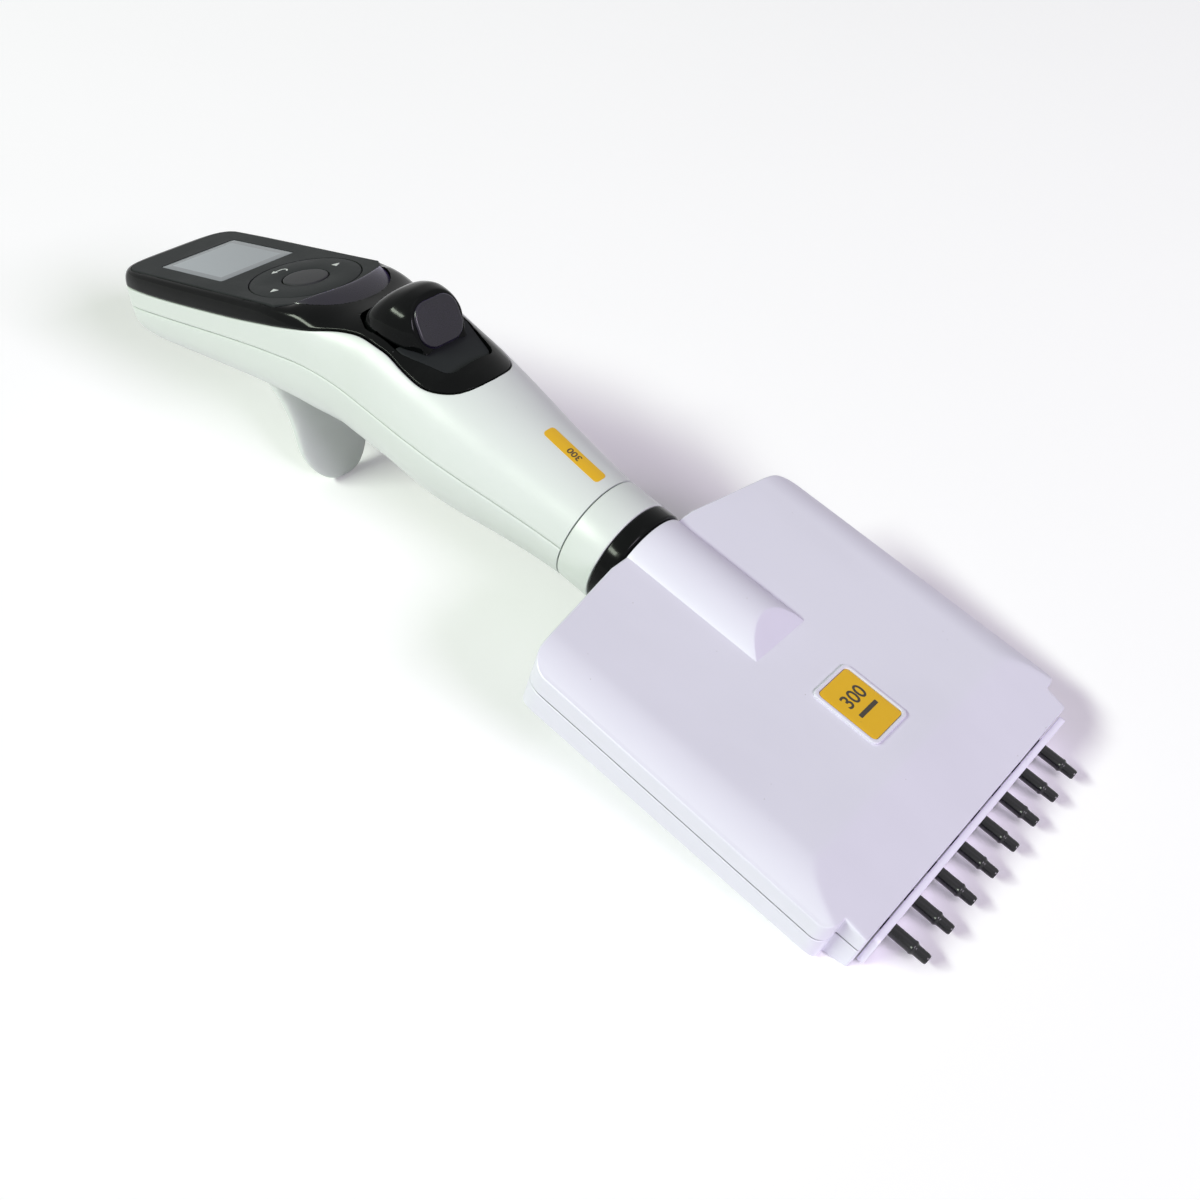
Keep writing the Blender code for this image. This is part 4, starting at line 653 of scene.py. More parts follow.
class Skin:
    """Gathers grids of points, in metres of the row frame, into one mesh."""

    def __init__(self, name: str, axes: Axes = TOOL) -> None:
        """Start an empty mesh.

        Args:
            name: the piece's name.
            axes: the axes that its points are given on.
        """
        self.name = name
        self.axes = axes
        self.points: list[Array] = []
        self.faces: list[Array] = []
        self.count = 0

    def grid(self, points: Array, around: bool = False) -> "Skin":
        """Add a grid of points, row by row.

        Args:
            points: (rows, columns, 3) in millimetres.
            around: join the last column to the first.

        Returns:
            The skin itself.
        """
        rows, columns = points.shape[:2]
        index = np.arange(rows * columns).reshape(rows, columns) + self.count
        if around:
            index = np.concatenate([index, index[:, :1]], 1)
        quads = np.stack([index[:-1, :-1], index[:-1, 1:], index[1:, 1:], index[1:, :-1]], -1)
        self.points.append(self.axes.place(points).reshape(-1, 3))
        self.faces.append(quads.reshape(-1, 4))
        self.count += rows * columns
        return self

    def rings(self, rings: Sequence[Array]) -> "Skin":
        """Add closed rings of the same count, one after another."""
        return self.grid(np.stack(list(rings)), True)

    def body(self, rings: Sequence[Array]) -> "Skin":
        """Add closed rings and shut both ends with a pole at each end's centre."""
        first = np.broadcast_to(rings[0].mean(0), rings[0].shape)
        last = np.broadcast_to(rings[-1].mean(0), rings[-1].shape)
        return self.rings([first, *rings, last])

    def object(self, look: Union[Looks, Finish], body: str, replaces: Iterable[str] = (),
               closed: bool = True, sharp: float = 32.0) -> bpy.types.Object:
        """Make the object, dress it and let it ride.

        Args:
            look: the finish.
            body: the CAD body that it moves with.
            replaces: CAD nodes that it stands for.
            closed: the surface is closed, so its normals can be turned outwards.
            sharp: angle in degrees beyond which an edge is drawn sharp.

        Returns:
            The object.
        """
        mesh = bpy.data.meshes.new(self.name)
        mesh.from_pydata(np.concatenate(self.points).tolist(), [], np.concatenate(self.faces).tolist())
        work = bmesh.new()
        work.from_mesh(mesh)
        bmesh.ops.remove_doubles(work, verts=work.verts, dist=2e-6)
        bmesh.ops.dissolve_degenerate(work, edges=work.edges, dist=1e-7)
        if closed:
            bmesh.ops.recalc_face_normals(work, faces=work.faces)
        work.to_mesh(mesh)
        work.free()
        mesh.shade_smooth()
        mesh.set_sharp_from_angle(angle=math.radians(sharp))
        item = bpy.data.objects.new(self.name, mesh)
        bpy.context.scene.collection.objects.link(item)
        finish = look.value if isinstance(look, Looks) else look
        mesh.materials.append(finish.material())
        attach(item, body)
        nodes = list(replaces)
        if nodes:
            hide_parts(*nodes)
        LOG.info("%s: %d points, %d faces", self.name, len(mesh.vertices), len(mesh.polygons))
        return item


def turned_rings(profile: Array, y: float = 0.0, count: int = 64) -> list[Array]:
    """Turn (x, radius) points about the X axis at a distance y."""
    angle = np.linspace(0, 2 * np.pi, count, endpoint=False)
    return [points_of(x, y + r * np.cos(angle), r * np.sin(angle)) for x, r in profile]


def softened(profile: Sequence[tuple[float, float]], radius: float, steps: int = 3) -> Array:
    """Round the corners of an open profile.

    Each inner corner is replaced by a curve between points that lie at the radius, or
    at 0.45 of the side if that is less, on both of its sides.

    Args:
        profile: (u, v) points.
        radius: reach of the rounding.
        steps: pieces in each curve.

    Returns:
        The rounded profile.
    """
    points = np.asarray(profile, float)
    out = [points[:1]]
    for before, here, after in zip(points, points[1:], points[2:]):
        back, ahead = before - here, after - here
        size_back, size_ahead = np.linalg.norm(back), np.linalg.norm(ahead)
        first = here + back / size_back * min(radius, 0.45 * size_back)
        last = here + ahead / size_ahead * min(radius, 0.45 * size_ahead)
        t = np.linspace(0, 1, steps + 1)[:, None]
        out.append((1 - t) ** 2 * first + 2 * t * (1 - t) * here + t * t * last)
    out.append(points[-1:])
    return np.concatenate(out)


def slab_rings(outline: Array, low: float, high: float, edge: float = 0.2,
               crown: float = 0.0, inner: int = 6) -> list[Array]:
    """Rings of a flat body: up its side, over a rounded edge and across its top.

    The top ring is moved in by 1 - sin and up by 1 - cos of an angle that turns from
    0 to 90 degrees, and the top then rises by the crown towards the middle.

    Args:
        outline: anticlockwise (n, 2) outline.
        low: height of the underside.
        high: height of the top.
        edge: radius of the upper edge.
        crown: rise in the middle.
        inner: rings across the top.

    Returns:
        Rings of (n, 3) points.
    """
    rings = [points_of(*outline.T, low)]
    for angle in np.linspace(0, math.pi / 2, 4):
        ring = grown(outline, -edge * (1 - math.cos(angle)))
        rings.append(points_of(*ring.T, high - edge + edge * math.sin(angle)))
    top = rings[-1]
    centre = top.mean(0)
    for share in np.linspace(0, 1, inner + 1)[1:]:
        ring = top + (centre - top) * share
        ring[:, 2] = high + crown * (1 - (1 - share) ** 2)
        rings.append(ring)
    return rings


def washer_rings(outer: Array, inner: Array, low: float, high: float, edge: float = 0.15) -> list[Array]:
    """Rings of a flat body with a hole, from its foot over both edges and back.

    Args:
        outer: anticlockwise outline.
        inner: outline of the hole, with as many points.
        low: height of the underside.
        high: height of the top.
        edge: radius of the upper edges.

    Returns:
        Rings of (n, 3) points that end on the first one.
    """
    rings = [points_of(*outer.T, low)]
    angles = np.linspace(0, math.pi / 2, 4)
    for border, sign, turns in ((outer, -1, angles), (inner, 1, angles[::-1])):
        for angle in turns:
            ring = grown(border, sign * edge * (1 - math.cos(angle)))
            rings.append(points_of(*ring.T, high - edge + edge * math.sin(angle)))
    rings += [points_of(*inner.T, low), rings[0]]
    return rings


@dataclass(frozen=True)
class Patch:
    """A patch of ground plan, fitted to its borders, with a rolled skirt around it."""

    u: Array
    v: Array
    level: Array
    out_u: Array
    out_v: Array

    @staticmethod
    def between(across: Array, start: Array, end: Array, rows: Array, levels: int) -> "Patch":
        """Fit a grid between two borders and pad it with the levels of a skirt.

        A point lies at start + share (end - start) on each line across. The padding
        repeats the border points and keeps the outward normal of the border there.

        Args:
            across: second coordinates of the lines, rising.
            start: first coordinate at which each line starts.
            end: first coordinate at which each line ends.
            rows: shares from 0 to 1.
            levels: rings of the skirt.

        Returns:
            The patch.
        """
        u = start[None] + rows[:, None] * (end - start)[None]
        v = np.broadcast_to(across[None], u.shape).copy()
        m, n = u.shape
        index = np.arange(m * n).reshape(m, n)
        loop = np.concatenate([index[0], index[1:, -1], index[-1, -2::-1], index[-2:0:-1, 0]])
        border = np.stack([u.ravel()[loop], v.ravel()[loop]], -1)
        ahead = np.roll(border, -1, 0)
        area = 0.5 * np.sum(border[:, 0] * ahead[:, 1] - ahead[:, 0] * border[:, 1])
        normal = outward(border) * math.copysign(1.0, area)
        out_u, out_v = np.zeros(m * n), np.zeros(m * n)
        out_u[loop], out_v[loop] = normal.T
        ramp_u = np.concatenate([np.arange(levels, 0, -1), np.zeros(m, int), np.arange(1, levels + 1)])
        ramp_v = np.concatenate([np.arange(levels, 0, -1), np.zeros(n, int), np.arange(1, levels + 1)])
        level = np.maximum(ramp_u[:, None], ramp_v[None])
        padded = [np.pad(part.reshape(m, n), levels, mode="edge") for part in (u, v, out_u, out_v)]
        return Patch(padded[0], padded[1], level, padded[2], padded[3])

    def points(self, height: Array, skirt: Sequence[tuple[float, float]]) -> Array:
        """Lift the plan to a height and drop its skirt.

        Args:
            height: height over the padded plan.
            skirt: for each level, how far it stands out and how far it drops.

        Returns:
            Points on the patch's axes.
        """
        out = np.array([0.0] + [step[0] for step in skirt])[self.level]
        drop = np.array([0.0] + [step[1] for step in skirt])[self.level]
        return points_of(self.u + self.out_u * out, self.v + self.out_v * out, height - drop)


def roll_skirt(radius: float, depth: float, steps: int = 3) -> list[tuple[float, float]]:
    """Skirt that rolls over a quarter circle and then drops straight to a depth."""
    angles = np.linspace(0, math.pi / 2, steps + 1)[1:]
    skirt = [(radius * math.sin(a), radius * (1 - math.cos(a))) for a in angles]
    return skirt + [(radius, depth)]


def sunk(points: Array, axes_of: tuple[Change, Change], outline: Array, floor: float,
         reach: float) -> Array:
    """Sink what lies inside an outline to a floor, with a crisp edge.

    Points nearer to the outline than the reach slide along the plan onto it and keep
    their height; points further inside drop to the floor.

    Args:
        points: points in tool millimetres.
        axes_of: pair of functions to and from the axes that the outline lies on.
        outline: closed outline on the first two of those axes.
        floor: third coordinate of the floor.
        reach: how far a point may slide.

    Returns:
        The changed points.
    """
    to_axes, from_axes = axes_of
    local = to_axes(points)
    u, v, h = np.moveaxis(local, -1, 0)
    box_low, box_high = outline.min(0) - 2 * reach, outline.max(0) + 2 * reach
    near = (u > box_low[0]) & (u < box_high[0]) & (v > box_low[1]) & (v < box_high[1]) & (h > floor)
    if not near.any():
        return points
    distance, nu, nv = outside(outline, u[near], v[near])
    slide = np.abs(distance) < reach
    deep = distance <= -reach
    lu, lv, lh = u[near], v[near], h[near]
    u[near] = np.where(slide, nu, lu)
    v[near] = np.where(slide, nv, lv)
    h[near] = np.where(deep, floor, lh)
    return from_axes(np.stack([u, v, h], -1))


# Handle


@dataclass(frozen=True)
class HandleForm:
    """The handle's squared sections, its panel's axes and its parting lines."""

    front: float = -100.8
    wheel_x: float = WHEEL_MIDDLE[0]
    wheel_z: float = WHEEL_MIDDLE[2]
    grip: tuple = (
        (0.0, 12.95, 0, 25.9, 12.95, 2.0, 2.0), (7.2, 13.6, 0, 27.2, 13.6, 2.0, 2.0),
        (18.2, 14.8, 0, 30.0, 15.0, 2.0, 2.0), (29.2, 16.2, 0, 33.2, 16.5, 2.05, 2.05),
        (39.2, 17.2, 0, 34.9, 17.4, 2.15, 2.1), (49.2, 17.8, 0, 35.2, 17.7, 2.3, 2.1),
        (59.2, 17.8, 3, 35.2, 17.7, 2.6, 2.2), (67.2, 15.9, 9, 33.5, 17.7, 2.9, 2.2),
        (74.2, 13.6, 16, 31.5, 17.8, 3.4, 2.3))
    display: tuple = (
        (16.5, 0.7, 21.5, 31.4, 18.1, 4.6, 2.4), (6.0, 1.9, 25.2, 29.8, 18.5, 5.6, 2.6),
        (-8.0, 1.9, 25.2, 27.0, 18.6, 6.0, 2.8), (-27.0, 1.9, 25.2, 24.6, 18.6, 6.0, 3.0),
        (-44.0, 1.9, 25.2, 23.0, 18.4, 6.0, 3.0), (-50.5, 1.7, 25.2, 21.8, 17.8, 5.6, 3.0),
        (-54.0, 0.6, 25.2, 19.4, 16.0, 5.0, 2.8), (-56.0, -1.4, 25.2, 15.6, 13.0, 4.5, 2.6),
        (-56.8, -3.4, 25.2, 11.4, 9.8, 4.0, 2.4))
    seam_display: tuple = ((-78.0, -9.4), (-51.5, -9.6), (-28.5, -10.1), (-7.8, -10.7), (5.1, -11.5),
                           (15.5, -12.8))
    seam_grip: tuple = ((67.2, 0.8), (57.2, 1.3), (39.2, 1.5), (-6.0, 1.5))
    edge_display: tuple = ((-75.7, -4.7), (-53.5, -4.5), (-36.1, -5.0), (-11.1, -5.0), (6.2, -4.5),
                           (16.6, -4.1))
    edge_grip: tuple = ((70.9, 11.9), (64.5, 14.0), (58.1, 14.6), (51.2, 13.7), (45.2, 13.4), (40.0, 14.6),
                        (36.8, 16.4), (35.2, 19.0), (34.4, 26.0))
    flat_from: float = 15.5
    flat_to: float = 10.5
    flat_edge: float = 0.8
    free_below: float = -6.0
    held_above: float = -2.0
    search: tuple = (30.0, 45.0)

    def to_tool(self, local: Array) -> Array:
        """Turn panel coordinates (along, across, height) into tool coordinates."""
        lean = math.radians(PANEL_TILT)
        a, y, h = np.moveaxis(np.asarray(local, float), -1, 0)
        return points_of(self.wheel_x + a * math.cos(lean) - h * math.sin(lean), y,
                         self.wheel_z + a * math.sin(lean) + h * math.cos(lean))

    def to_panel(self, points: Array) -> Array:
        """Turn tool coordinates into panel coordinates (along, across, height)."""
        lean = math.radians(PANEL_TILT)
        x, y, z = np.moveaxis(np.asarray(points, float), -1, 0)
        dx, dz = x - self.wheel_x, z - self.wheel_z
        cosine, sine = math.cos(lean), math.sin(lean)
        return points_of(dx * cosine + dz * sine, y, dz * cosine - dx * sine)

    def stations(self) -> Array:
        """Return the stations' x, z, lean, depth, half width and exponents."""
        grip = np.array(self.grip, float)
        grip[:, 0] = self.front - grip[:, 0]
        display = np.array(self.display, float)
        top = self.to_tool(points_of(display[:, 0], 0.0, display[:, 1]))
        display[:, 0], display[:, 1] = top[:, 0], top[:, 2]
        return np.vstack([grip, display])

    def progress(self) -> Array:
        """Return each station's distance from the mouth along the top."""
        top = self.stations()[:, :2]
        return np.concatenate([[0], np.cumsum(np.linalg.norm(np.diff(top, axis=0), axis=1))])

    def section(self, at: Array, scale: Array, angle: Array) -> Array:
        """Rings of the handle.

        A ring lies on a plane that leans with the station. Its point at an angle is
        the middle, plus half the width times the cosine to the power 2 / exponent
        across, plus half the depth times the sine to that power up. Above the display
        panel the height over the panel's plane is softly held to zero.

        Args:
            at: distances from the mouth.
            scale: size of each ring about its middle.
            angle: angles, from -90 degrees at the bottom to 90 at the top.

        Returns:
            (rows, angles, 3) points.
        """
        table, places = self.stations(), self.progress()
        x, z, lean, depth, half, upper, lower = [eased(places, column, at)[:, None] for column in table.T]
        lean = np.radians(lean)
        sine, cosine = np.sin(angle)[None], np.cos(angle)[None]
        power = 2 / np.where(sine >= 0, upper, lower)
        across = half * scale[:, None] * np.abs(cosine) ** power
        up = depth / 2 * scale[:, None] * np.sign(sine) * np.abs(sine) ** power
        down = depth / 2 - up
        points = points_of(x + np.sin(lean) * down, across, z - np.cos(lean) * down)
        local = self.to_panel(points)
        a, height = local[..., 0], local[..., 2]
        held = 0.5 * (height - np.sqrt(height ** 2 + self.flat_edge ** 2)) + 0.02
        share = step_between(self.flat_from, self.flat_to, a)
        share = share * step_between(self.free_below, self.held_above, height)
        local[..., 2] = height + (held - height) * share
        return self.to_tool(local)

    def line(self, display: Sequence[tuple[float, float]], grip: Sequence[tuple[float, float]]) -> Array:
        """Side view of a parting line, by Catmull and Rom's formula.

        Args:
            display: points on the panel's axes.
            grip: points measured back from the mouth.

        Returns:
            (n, 2) points with rising x.
        """
        local = np.array(display, float)
        tool = self.to_tool(points_of(local[:, 0], 0.0, local[:, 1]))
        points = np.vstack([tool[:, [0, 2]], [(self.front - behind, z) for behind, z in grip]])
        padded = np.vstack([points[:1], points, points[-1:]])
        p0, p1, p2, p3 = padded[:-3, None], padded[1:-2, None], padded[2:-1, None], padded[3:, None]
        t = np.linspace(0, 1, 9)[None, :-1, None]
        curve = 0.5 * (2 * p1 + (p2 - p0) * t + (2 * p0 - 5 * p1 + 4 * p2 - p3) * t ** 2
                       + (3 * p1 - p0 - 3 * p2 + p3) * t ** 3)
        return np.vstack([curve.reshape(-1, 2), points[-1:]])

    def seam(self) -> Array:
        """Return the seam between the white shells."""
        return self.line(self.seam_display, self.seam_grip)

    def edge(self) -> Array:
        """Return the lower edge of the black bezel."""
        return self.line(self.edge_display, self.edge_grip)

    def beyond(self, points: Array, line: Array) -> Array:
        """Height of points over a parting line, measured square to it.

        Args:
            points: points in tool millimetres.
            line: (n, 2) points of the line's side view.

        Returns:
            The heights, and -50 past the line's front end.
        """
        slope = np.gradient(line[:, 1], line[:, 0])
        x = points[..., 0]
        rise = np.interp(x, line[:, 0], slope)
        over = points[..., 2] - np.interp(x, line[:, 0], line[:, 1])
        return np.where(x > line[-1, 0], -50.0, over / np.sqrt(1 + rise ** 2))

    def bands(self, at: Array, scale: Array, low: Optional[Array], low_gap: float, high: Optional[Array],
              high_gap: float, columns: Array, lip: float, depth: float) -> Array:
        """Right half of a shell between two parting lines, with a rolled lip on each.

        Every ring is cut into fine steps, its arc length is measured, and the columns
        are laid at shares of the length between the two lines. The lip's points lie
        r (1 - cos a) along the surface and r (1 - sin a) under it.

        Args:
            at: distances of the rings from the mouth.
            scale: size of each ring.
            low: lower line, or None for the bottom.
            low_gap: distance kept from it.
            high: upper line, or None for the top.
            high_gap: distance kept from it.
            columns: shares from 0 to 1.
            lip: radius of the lips.
            depth: depth of the wall under each lip.

        Returns:
            (rows, columns, 3) points.
        """
        share = np.linspace(0, 1, 260)
        share = share * share * (3 - 2 * share)
        angle = np.radians(np.concatenate([-90 + 90 * share, 90 * share[1:]]))
        fine = self.section(at, scale, angle)
        fine[:, 0, 1] = 0.0
        fine[:, -1, 1] = 0.0
        length = np.concatenate([np.zeros((len(at), 1)),
                                 np.cumsum(np.linalg.norm(np.diff(fine, axis=1), axis=-1), 1)], 1)
        start = self.crossing(fine, length, low, low_gap, 0.0)
        end = self.crossing(fine, length, high, -high_gap, 1.0)
        out = []
        turn = np.linspace(0, math.pi / 2, 4)
        for ring, path, first, last in zip(fine, length, start, end):
            last = max(first, last)
            radius = min(lip, 0.3 * (last - first))
            open_low, open_high = first <= path[0] + 1e-6, last >= path[-1] - 1e-6
            reach_low, reach_high = (0 if open_low else radius), (0 if open_high else radius)
            wall_low, wall_high = (0 if open_low else depth), (0 if open_high else depth)
            along = np.concatenate([
                [first], first + reach_low * (1 - np.cos(turn[:-1])),
                first + reach_low + (last - first - reach_low - reach_high) * columns,
                last - reach_high * (1 - np.cos(turn[-2::-1])), [last]])
            under = np.concatenate([
                [wall_low], reach_low * (1 - np.sin(turn[:-1])), np.zeros(len(columns)),
                reach_high * (1 - np.sin(turn[-2::-1])), [wall_high]])
            row = np.stack([np.interp(along, path, ring[:, k]) for k in range(3)], -1)
            ahead = np.stack([np.interp(along + 0.05, path, ring[:, k]) for k in range(3)], -1)
            behind = np.stack([np.interp(along - 0.05, path, ring[:, k]) for k in range(3)], -1)
            way = unit(ahead - behind)
            upright = np.array([ring[-1, 0] - ring[0, 0], 0.0, ring[-1, 2] - ring[0, 2]])
            upright /= max(np.linalg.norm(upright), 1e-9)
            rise = way @ upright
            normal = np.array([0.0, 1.0, 0.0]) * rise[:, None] - upright * way[:, 1:2]
            out.append(row - normal * under[:, None])
        return np.stack(out)

    def crossing(self, fine: Array, length: Array, line: Optional[Array], gap: float,
                 default: float) -> Array:
        """Arc length at which each ring crosses a line.

        Args:
            fine: (rows, columns, 3) points of the rings.
            length: their arc lengths.
            line: the line, or None for an end of the ring.
            gap: height over the line that counts as crossing it.
            default: 0 for the ring's start, 1 for its end, where the line is None.

        Returns:
            One length for each ring.
        """
        if line is None:
            return length[:, 0] if default == 0.0 else length[:, -1]
        over = self.beyond(fine, line) - gap
        above = over > 0
        first = above.argmax(1)
        rows = np.arange(len(fine))
        before = np.maximum(first - 1, 0)
        low, high = over[rows, before], over[rows, first]
        share = np.where(high > low, -low / np.where(high > low, high - low, 1), 0)
        found = length[rows, before] + np.clip(share, 0, 1) * (length[rows, first] - length[rows, before])
        return np.where(above.any(1), found, length[:, -1])

    def tip(self) -> float:
        """Distance from the mouth at which the bezel begins on the top line."""
        at = np.linspace(*self.search, 3001)
        top = self.section(at, np.ones_like(at), np.radians([90.0]))[:, 0]
        return float(at[np.argmax(self.beyond(top, self.edge()) > 0)])

    def cap(self) -> tuple[Array, Array]:
        """Distances and scales of the rings that close the far end."""
        end = self.progress()[-1]
        scale = np.array([0.96, 0.9, 0.8, 0.68, 0.55, 0.42, 0.3, 0.18, 0.08, 0.001])
        return np.full(len(scale), end), scale


def whole(right: Array) -> Array:
    """Mirror a right half whose last column lies on the middle."""
    left = right[:, -2::-1] * np.array([1.0, -1.0, 1.0])
    return np.concatenate([right, left], 1)


FORM = HandleForm()
PANEL_PAIR = (FORM.to_panel, FORM.to_tool)
FLAT_PAIR = (lambda points: np.array(points, float), lambda local: local)


@dataclass
class Controls:
    """Display panel, window, touch ring, centre button and run button."""

    half_width: float = 16.4
    far: float = 53.0
    corner: float = 5.5
    thickness: float = 1.2
    gap: float = 0.3
    lcd_far: float = 43.3
    lcd_length: float = 25.2
    lcd_half: float = 11.5
    ring_outer: float = 13.5
    ok_radius: float = 5.5
    run_half: float = 13.4
    run_tip: float = 12.0
    run_ridge: float = 17.0
    run_front: float = 23.5
    run_height: float = 1.3
    run_hollow: float = 1.75
    run_back_skirt: float = -2.4
    run_front_skirt: float = -2.8
    icon_reach: float = 9.9
    icon_height: float = 0.045
    arrow_reach: float = -10.45

    def chord(self, reach: float, across: Array, grow: float = 0.0) -> Array:
        """Place along the panel of an arc that ends at the run button's tips.

        Args:
            reach: place of the arc's middle.
            across: distances from the middle.
            grow: how far the arc is moved outwards.

        Returns:
            The places.
        """
        rise = reach - self.run_tip
        radius = (rise ** 2 + self.run_half ** 2) / (2 * rise)
        inside = np.maximum((radius + grow) ** 2 - np.asarray(across) ** 2, 0)
        return reach - radius + np.sqrt(inside)

    def near_edge(self, across: Array, grow: float = 0.0) -> Array:
        """Place of the panel's near edge: the ridge arc, then a slope to its sides."""
        arc = self.chord(self.run_ridge, across, grow)
        side = self.run_tip - 4.0 * (np.abs(across) - self.run_half) / (self.half_width - self.run_half)
        return np.where(np.abs(across) < self.run_half, arc, side + grow)

    def far_edge(self, across: Array, grow: float = 0.0) -> Array:
        """Place of the panel's far edge, with its rounded corners."""
        reach = np.maximum(np.abs(across) - (self.half_width - self.corner), 0)
        radius = self.corner + grow
        return -self.far + self.corner - np.sqrt(np.maximum(radius ** 2 - reach ** 2, 0))

    def panel_outline(self, grow: float) -> Array:
        """Outline of the panel, grown by a margin."""
        wide = self.half_width + grow
        across = np.linspace(-wide, wide, 181)
        near = np.stack([self.near_edge(across, grow), across], -1)
        far = np.stack([self.far_edge(across, grow), across], -1)[::-1]
        return even(np.concatenate([near, far]), 0.3)

    def run_outline(self, grow: float) -> Array:
        """Outline of the run button, grown by a margin."""
        across = np.linspace(-self.run_half - grow, self.run_half + grow, 121)
        front = np.stack([self.chord(self.run_front, across, grow), across], -1)
        back = np.stack([self.chord(self.run_ridge, across, -grow), across], -1)[::-1]
        return even(np.concatenate([front, back]), 0.3)

    def window_outline(self, grow: float) -> Array:
        """Outline of the display's window, grown by a margin."""
        low = (-self.lcd_far - grow, -self.lcd_half - grow)
        return box(low, (self.lcd_length - self.lcd_far + grow, self.lcd_half + grow), 0.6 + grow, 0.3)

    def panel(self) -> None:
        """Flat overlay with a rolled edge, sunk at the ring and at the window."""
        edge = 0.25
        wide = self.half_width - edge
        across = wide * np.sin(np.linspace(-1, 1, 141) * math.pi / 2)
        across = 0.35 * across + 0.65 * np.linspace(-wide, wide, 141)
        patch = Patch.between(across, self.far_edge(across, -edge), self.near_edge(across, -edge),
                              np.linspace(0, 1, 241), 4)
        points = patch.points(np.full(patch.u.shape, 0.02), roll_skirt(edge, self.thickness))
        points = sunk(points, FLAT_PAIR, circle(self.ring_outer + self.gap, 160), -self.thickness, 0.16)
        points = sunk(points, FLAT_PAIR, self.window_outline(0.0), -self.thickness, 0.16)
        skin = Skin("panel_overlay", PANEL).grid(points)
        skin.object(Looks.GREY, "handle", ["display_panel"], sharp=40)

    def window(self) -> None:
        """Glass of the display."""
        rings = slab_rings(self.window_outline(-0.12), -self.thickness, -0.06, 0.12)
        centre = FORM.to_tool(points_of(self.lcd_length / 2 - self.lcd_far, 0.0, 0.0))
        place = TOOL.place(centre)
        look = Window("display_glass", (0.33, 0.36, 0.40), tuple(place), PANEL.direction(),
                      self.lcd_length / 2, self.lcd_half)
        Skin("display_window", PANEL).body(rings).object(look, "handle", ["lcd_lens"])

    def keys(self) -> None:
        """Touch ring and centre button, each with a rolled edge."""
        ring = washer_rings(circle(self.ring_outer, 160), circle(self.ok_radius + 0.3, 160),
                            -self.thickness, 0.02, 0.18)
        Skin("touch_ring_cap", PANEL).rings(ring).object(Looks.GREY, "ring_key", ["touch_ring"])
        centre = slab_rings(circle(self.ok_radius, 128), -self.thickness, 0.16, 0.3, 0.12, 10)
        Skin("centre_button_cap", PANEL).body(centre).object(Looks.BUTTON, "centre_key", ["ok_button"])

    def icons(self) -> None:
        """Two step triangles and a return arrow, printed on the touch ring."""
        skin = Skin("ring_icons", PANEL)
        for side in (-1, 1):
            foot, top = side * (self.icon_reach - 0.85), side * (self.icon_reach + 1.1)
            corners = [(-1.0, foot, 0.12), (1.0, foot, 0.12), (0.0, top, 0.12)]
            outline = rounded_outline(corners[::side], 0.08)
            skin.body(slab_rings(outline, 0.0, self.icon_height, 0.012, inner=3))
        turn = np.radians(np.linspace(-80, 100, 40))
        along, across = -9.5 - 0.95 * np.sin(turn), 0.9 + 0.9 * np.cos(turn)
        reach = self.arrow_reach
        path = np.stack([np.append(along, reach), np.append(across, -0.9)], -1)
        skin.grid(self.stroke(path, 0.2))
        head = rounded_outline([(reach, -2.1, 0.1), (reach + 0.9, -0.7, 0.1), (reach - 0.9, -0.7, 0.1)], 0.08)
        skin.body(slab_rings(head, 0.0, self.icon_height, 0.012, inner=3))
        skin.object(Looks.ICON, "ring_key")

    def stroke(self, path: Array, half: float) -> Array:
        """A printed line: a path widened to both sides, with thin walls.

        Args:
            path: (n, 2) points of the line.
            half: half its width.

        Returns:
            (n, 4, 3) points of its two walls and its top.
        """
        way = unit(np.gradient(path, axis=0))
        side = np.stack([-way[:, 1], way[:, 0]], -1)
        left, right = path + side * half, path - side * half
        high = self.icon_height
        return np.stack([points_of(*left.T, 0.0), points_of(*left.T, high), points_of(*right.T, high),
                         points_of(*right.T, 0.0)], 1)

    def run_button(self) -> None:
        """Crescent button whose ridge falls to its tips and whose face slopes away.

        Across the button the ridge's height is its peak times 1 - t to the fourth, t
        being the share of the half width. Along a section the surface climbs the wall
        at the ridge, rolls over it, and falls to the front edge on a slightly hollow
        curve.
        """
        t = np.sin(np.linspace(-1, 1, 91) * math.pi / 2) * 0.995
        across = t * self.run_half
        ridge = self.chord(self.run_ridge, across, -0.25)
        front = self.chord(self.run_front, across, -0.05)
        front = np.maximum(front, ridge + 0.05)
        peak = self.run_height * (1 - np.abs(t) ** 4) + 0.15
        foot = -self.run_hollow * (1 - np.abs(t) ** 2.5) - 0.1
        share = np.linspace(0, 1, 15)[1:]
        fall = 1 - share ** 1.25
        face = foot[:, None] + (peak - foot)[:, None] * fall[None]
        roll = np.minimum(0.7, (front - ridge) * 0.18)
        turn = np.linspace(0, math.pi / 2, 6)
        rolled_u = ridge[:, None] + roll[:, None] * (1 - np.cos(turn))[None]
        rolled_h = peak[:, None] - roll[:, None] * (1 - np.sin(turn))[None]
        start = ridge + roll
        slope = start[:, None] + (front - start)[:, None] * share[None]
        u = np.concatenate([ridge[:, None], rolled_u, slope, front[:, None]], 1)
        back_skirt, front_skirt = [np.full((len(t), 1), depth)
                                   for depth in (self.run_back_skirt, self.run_front_skirt)]
        h = np.concatenate([back_skirt, rolled_h, face, front_skirt], 1)
        points = points_of(u, across[:, None], h)
        skin = Skin("run_button_cap", PANEL).grid(points, True)
        for ring in (points[0], points[-1]):
            skin.rings([ring, np.broadcast_to(ring.mean(0), ring.shape)])
        skin.object(Looks.VIOLET, "run_key", ["run_button"], sharp=50)

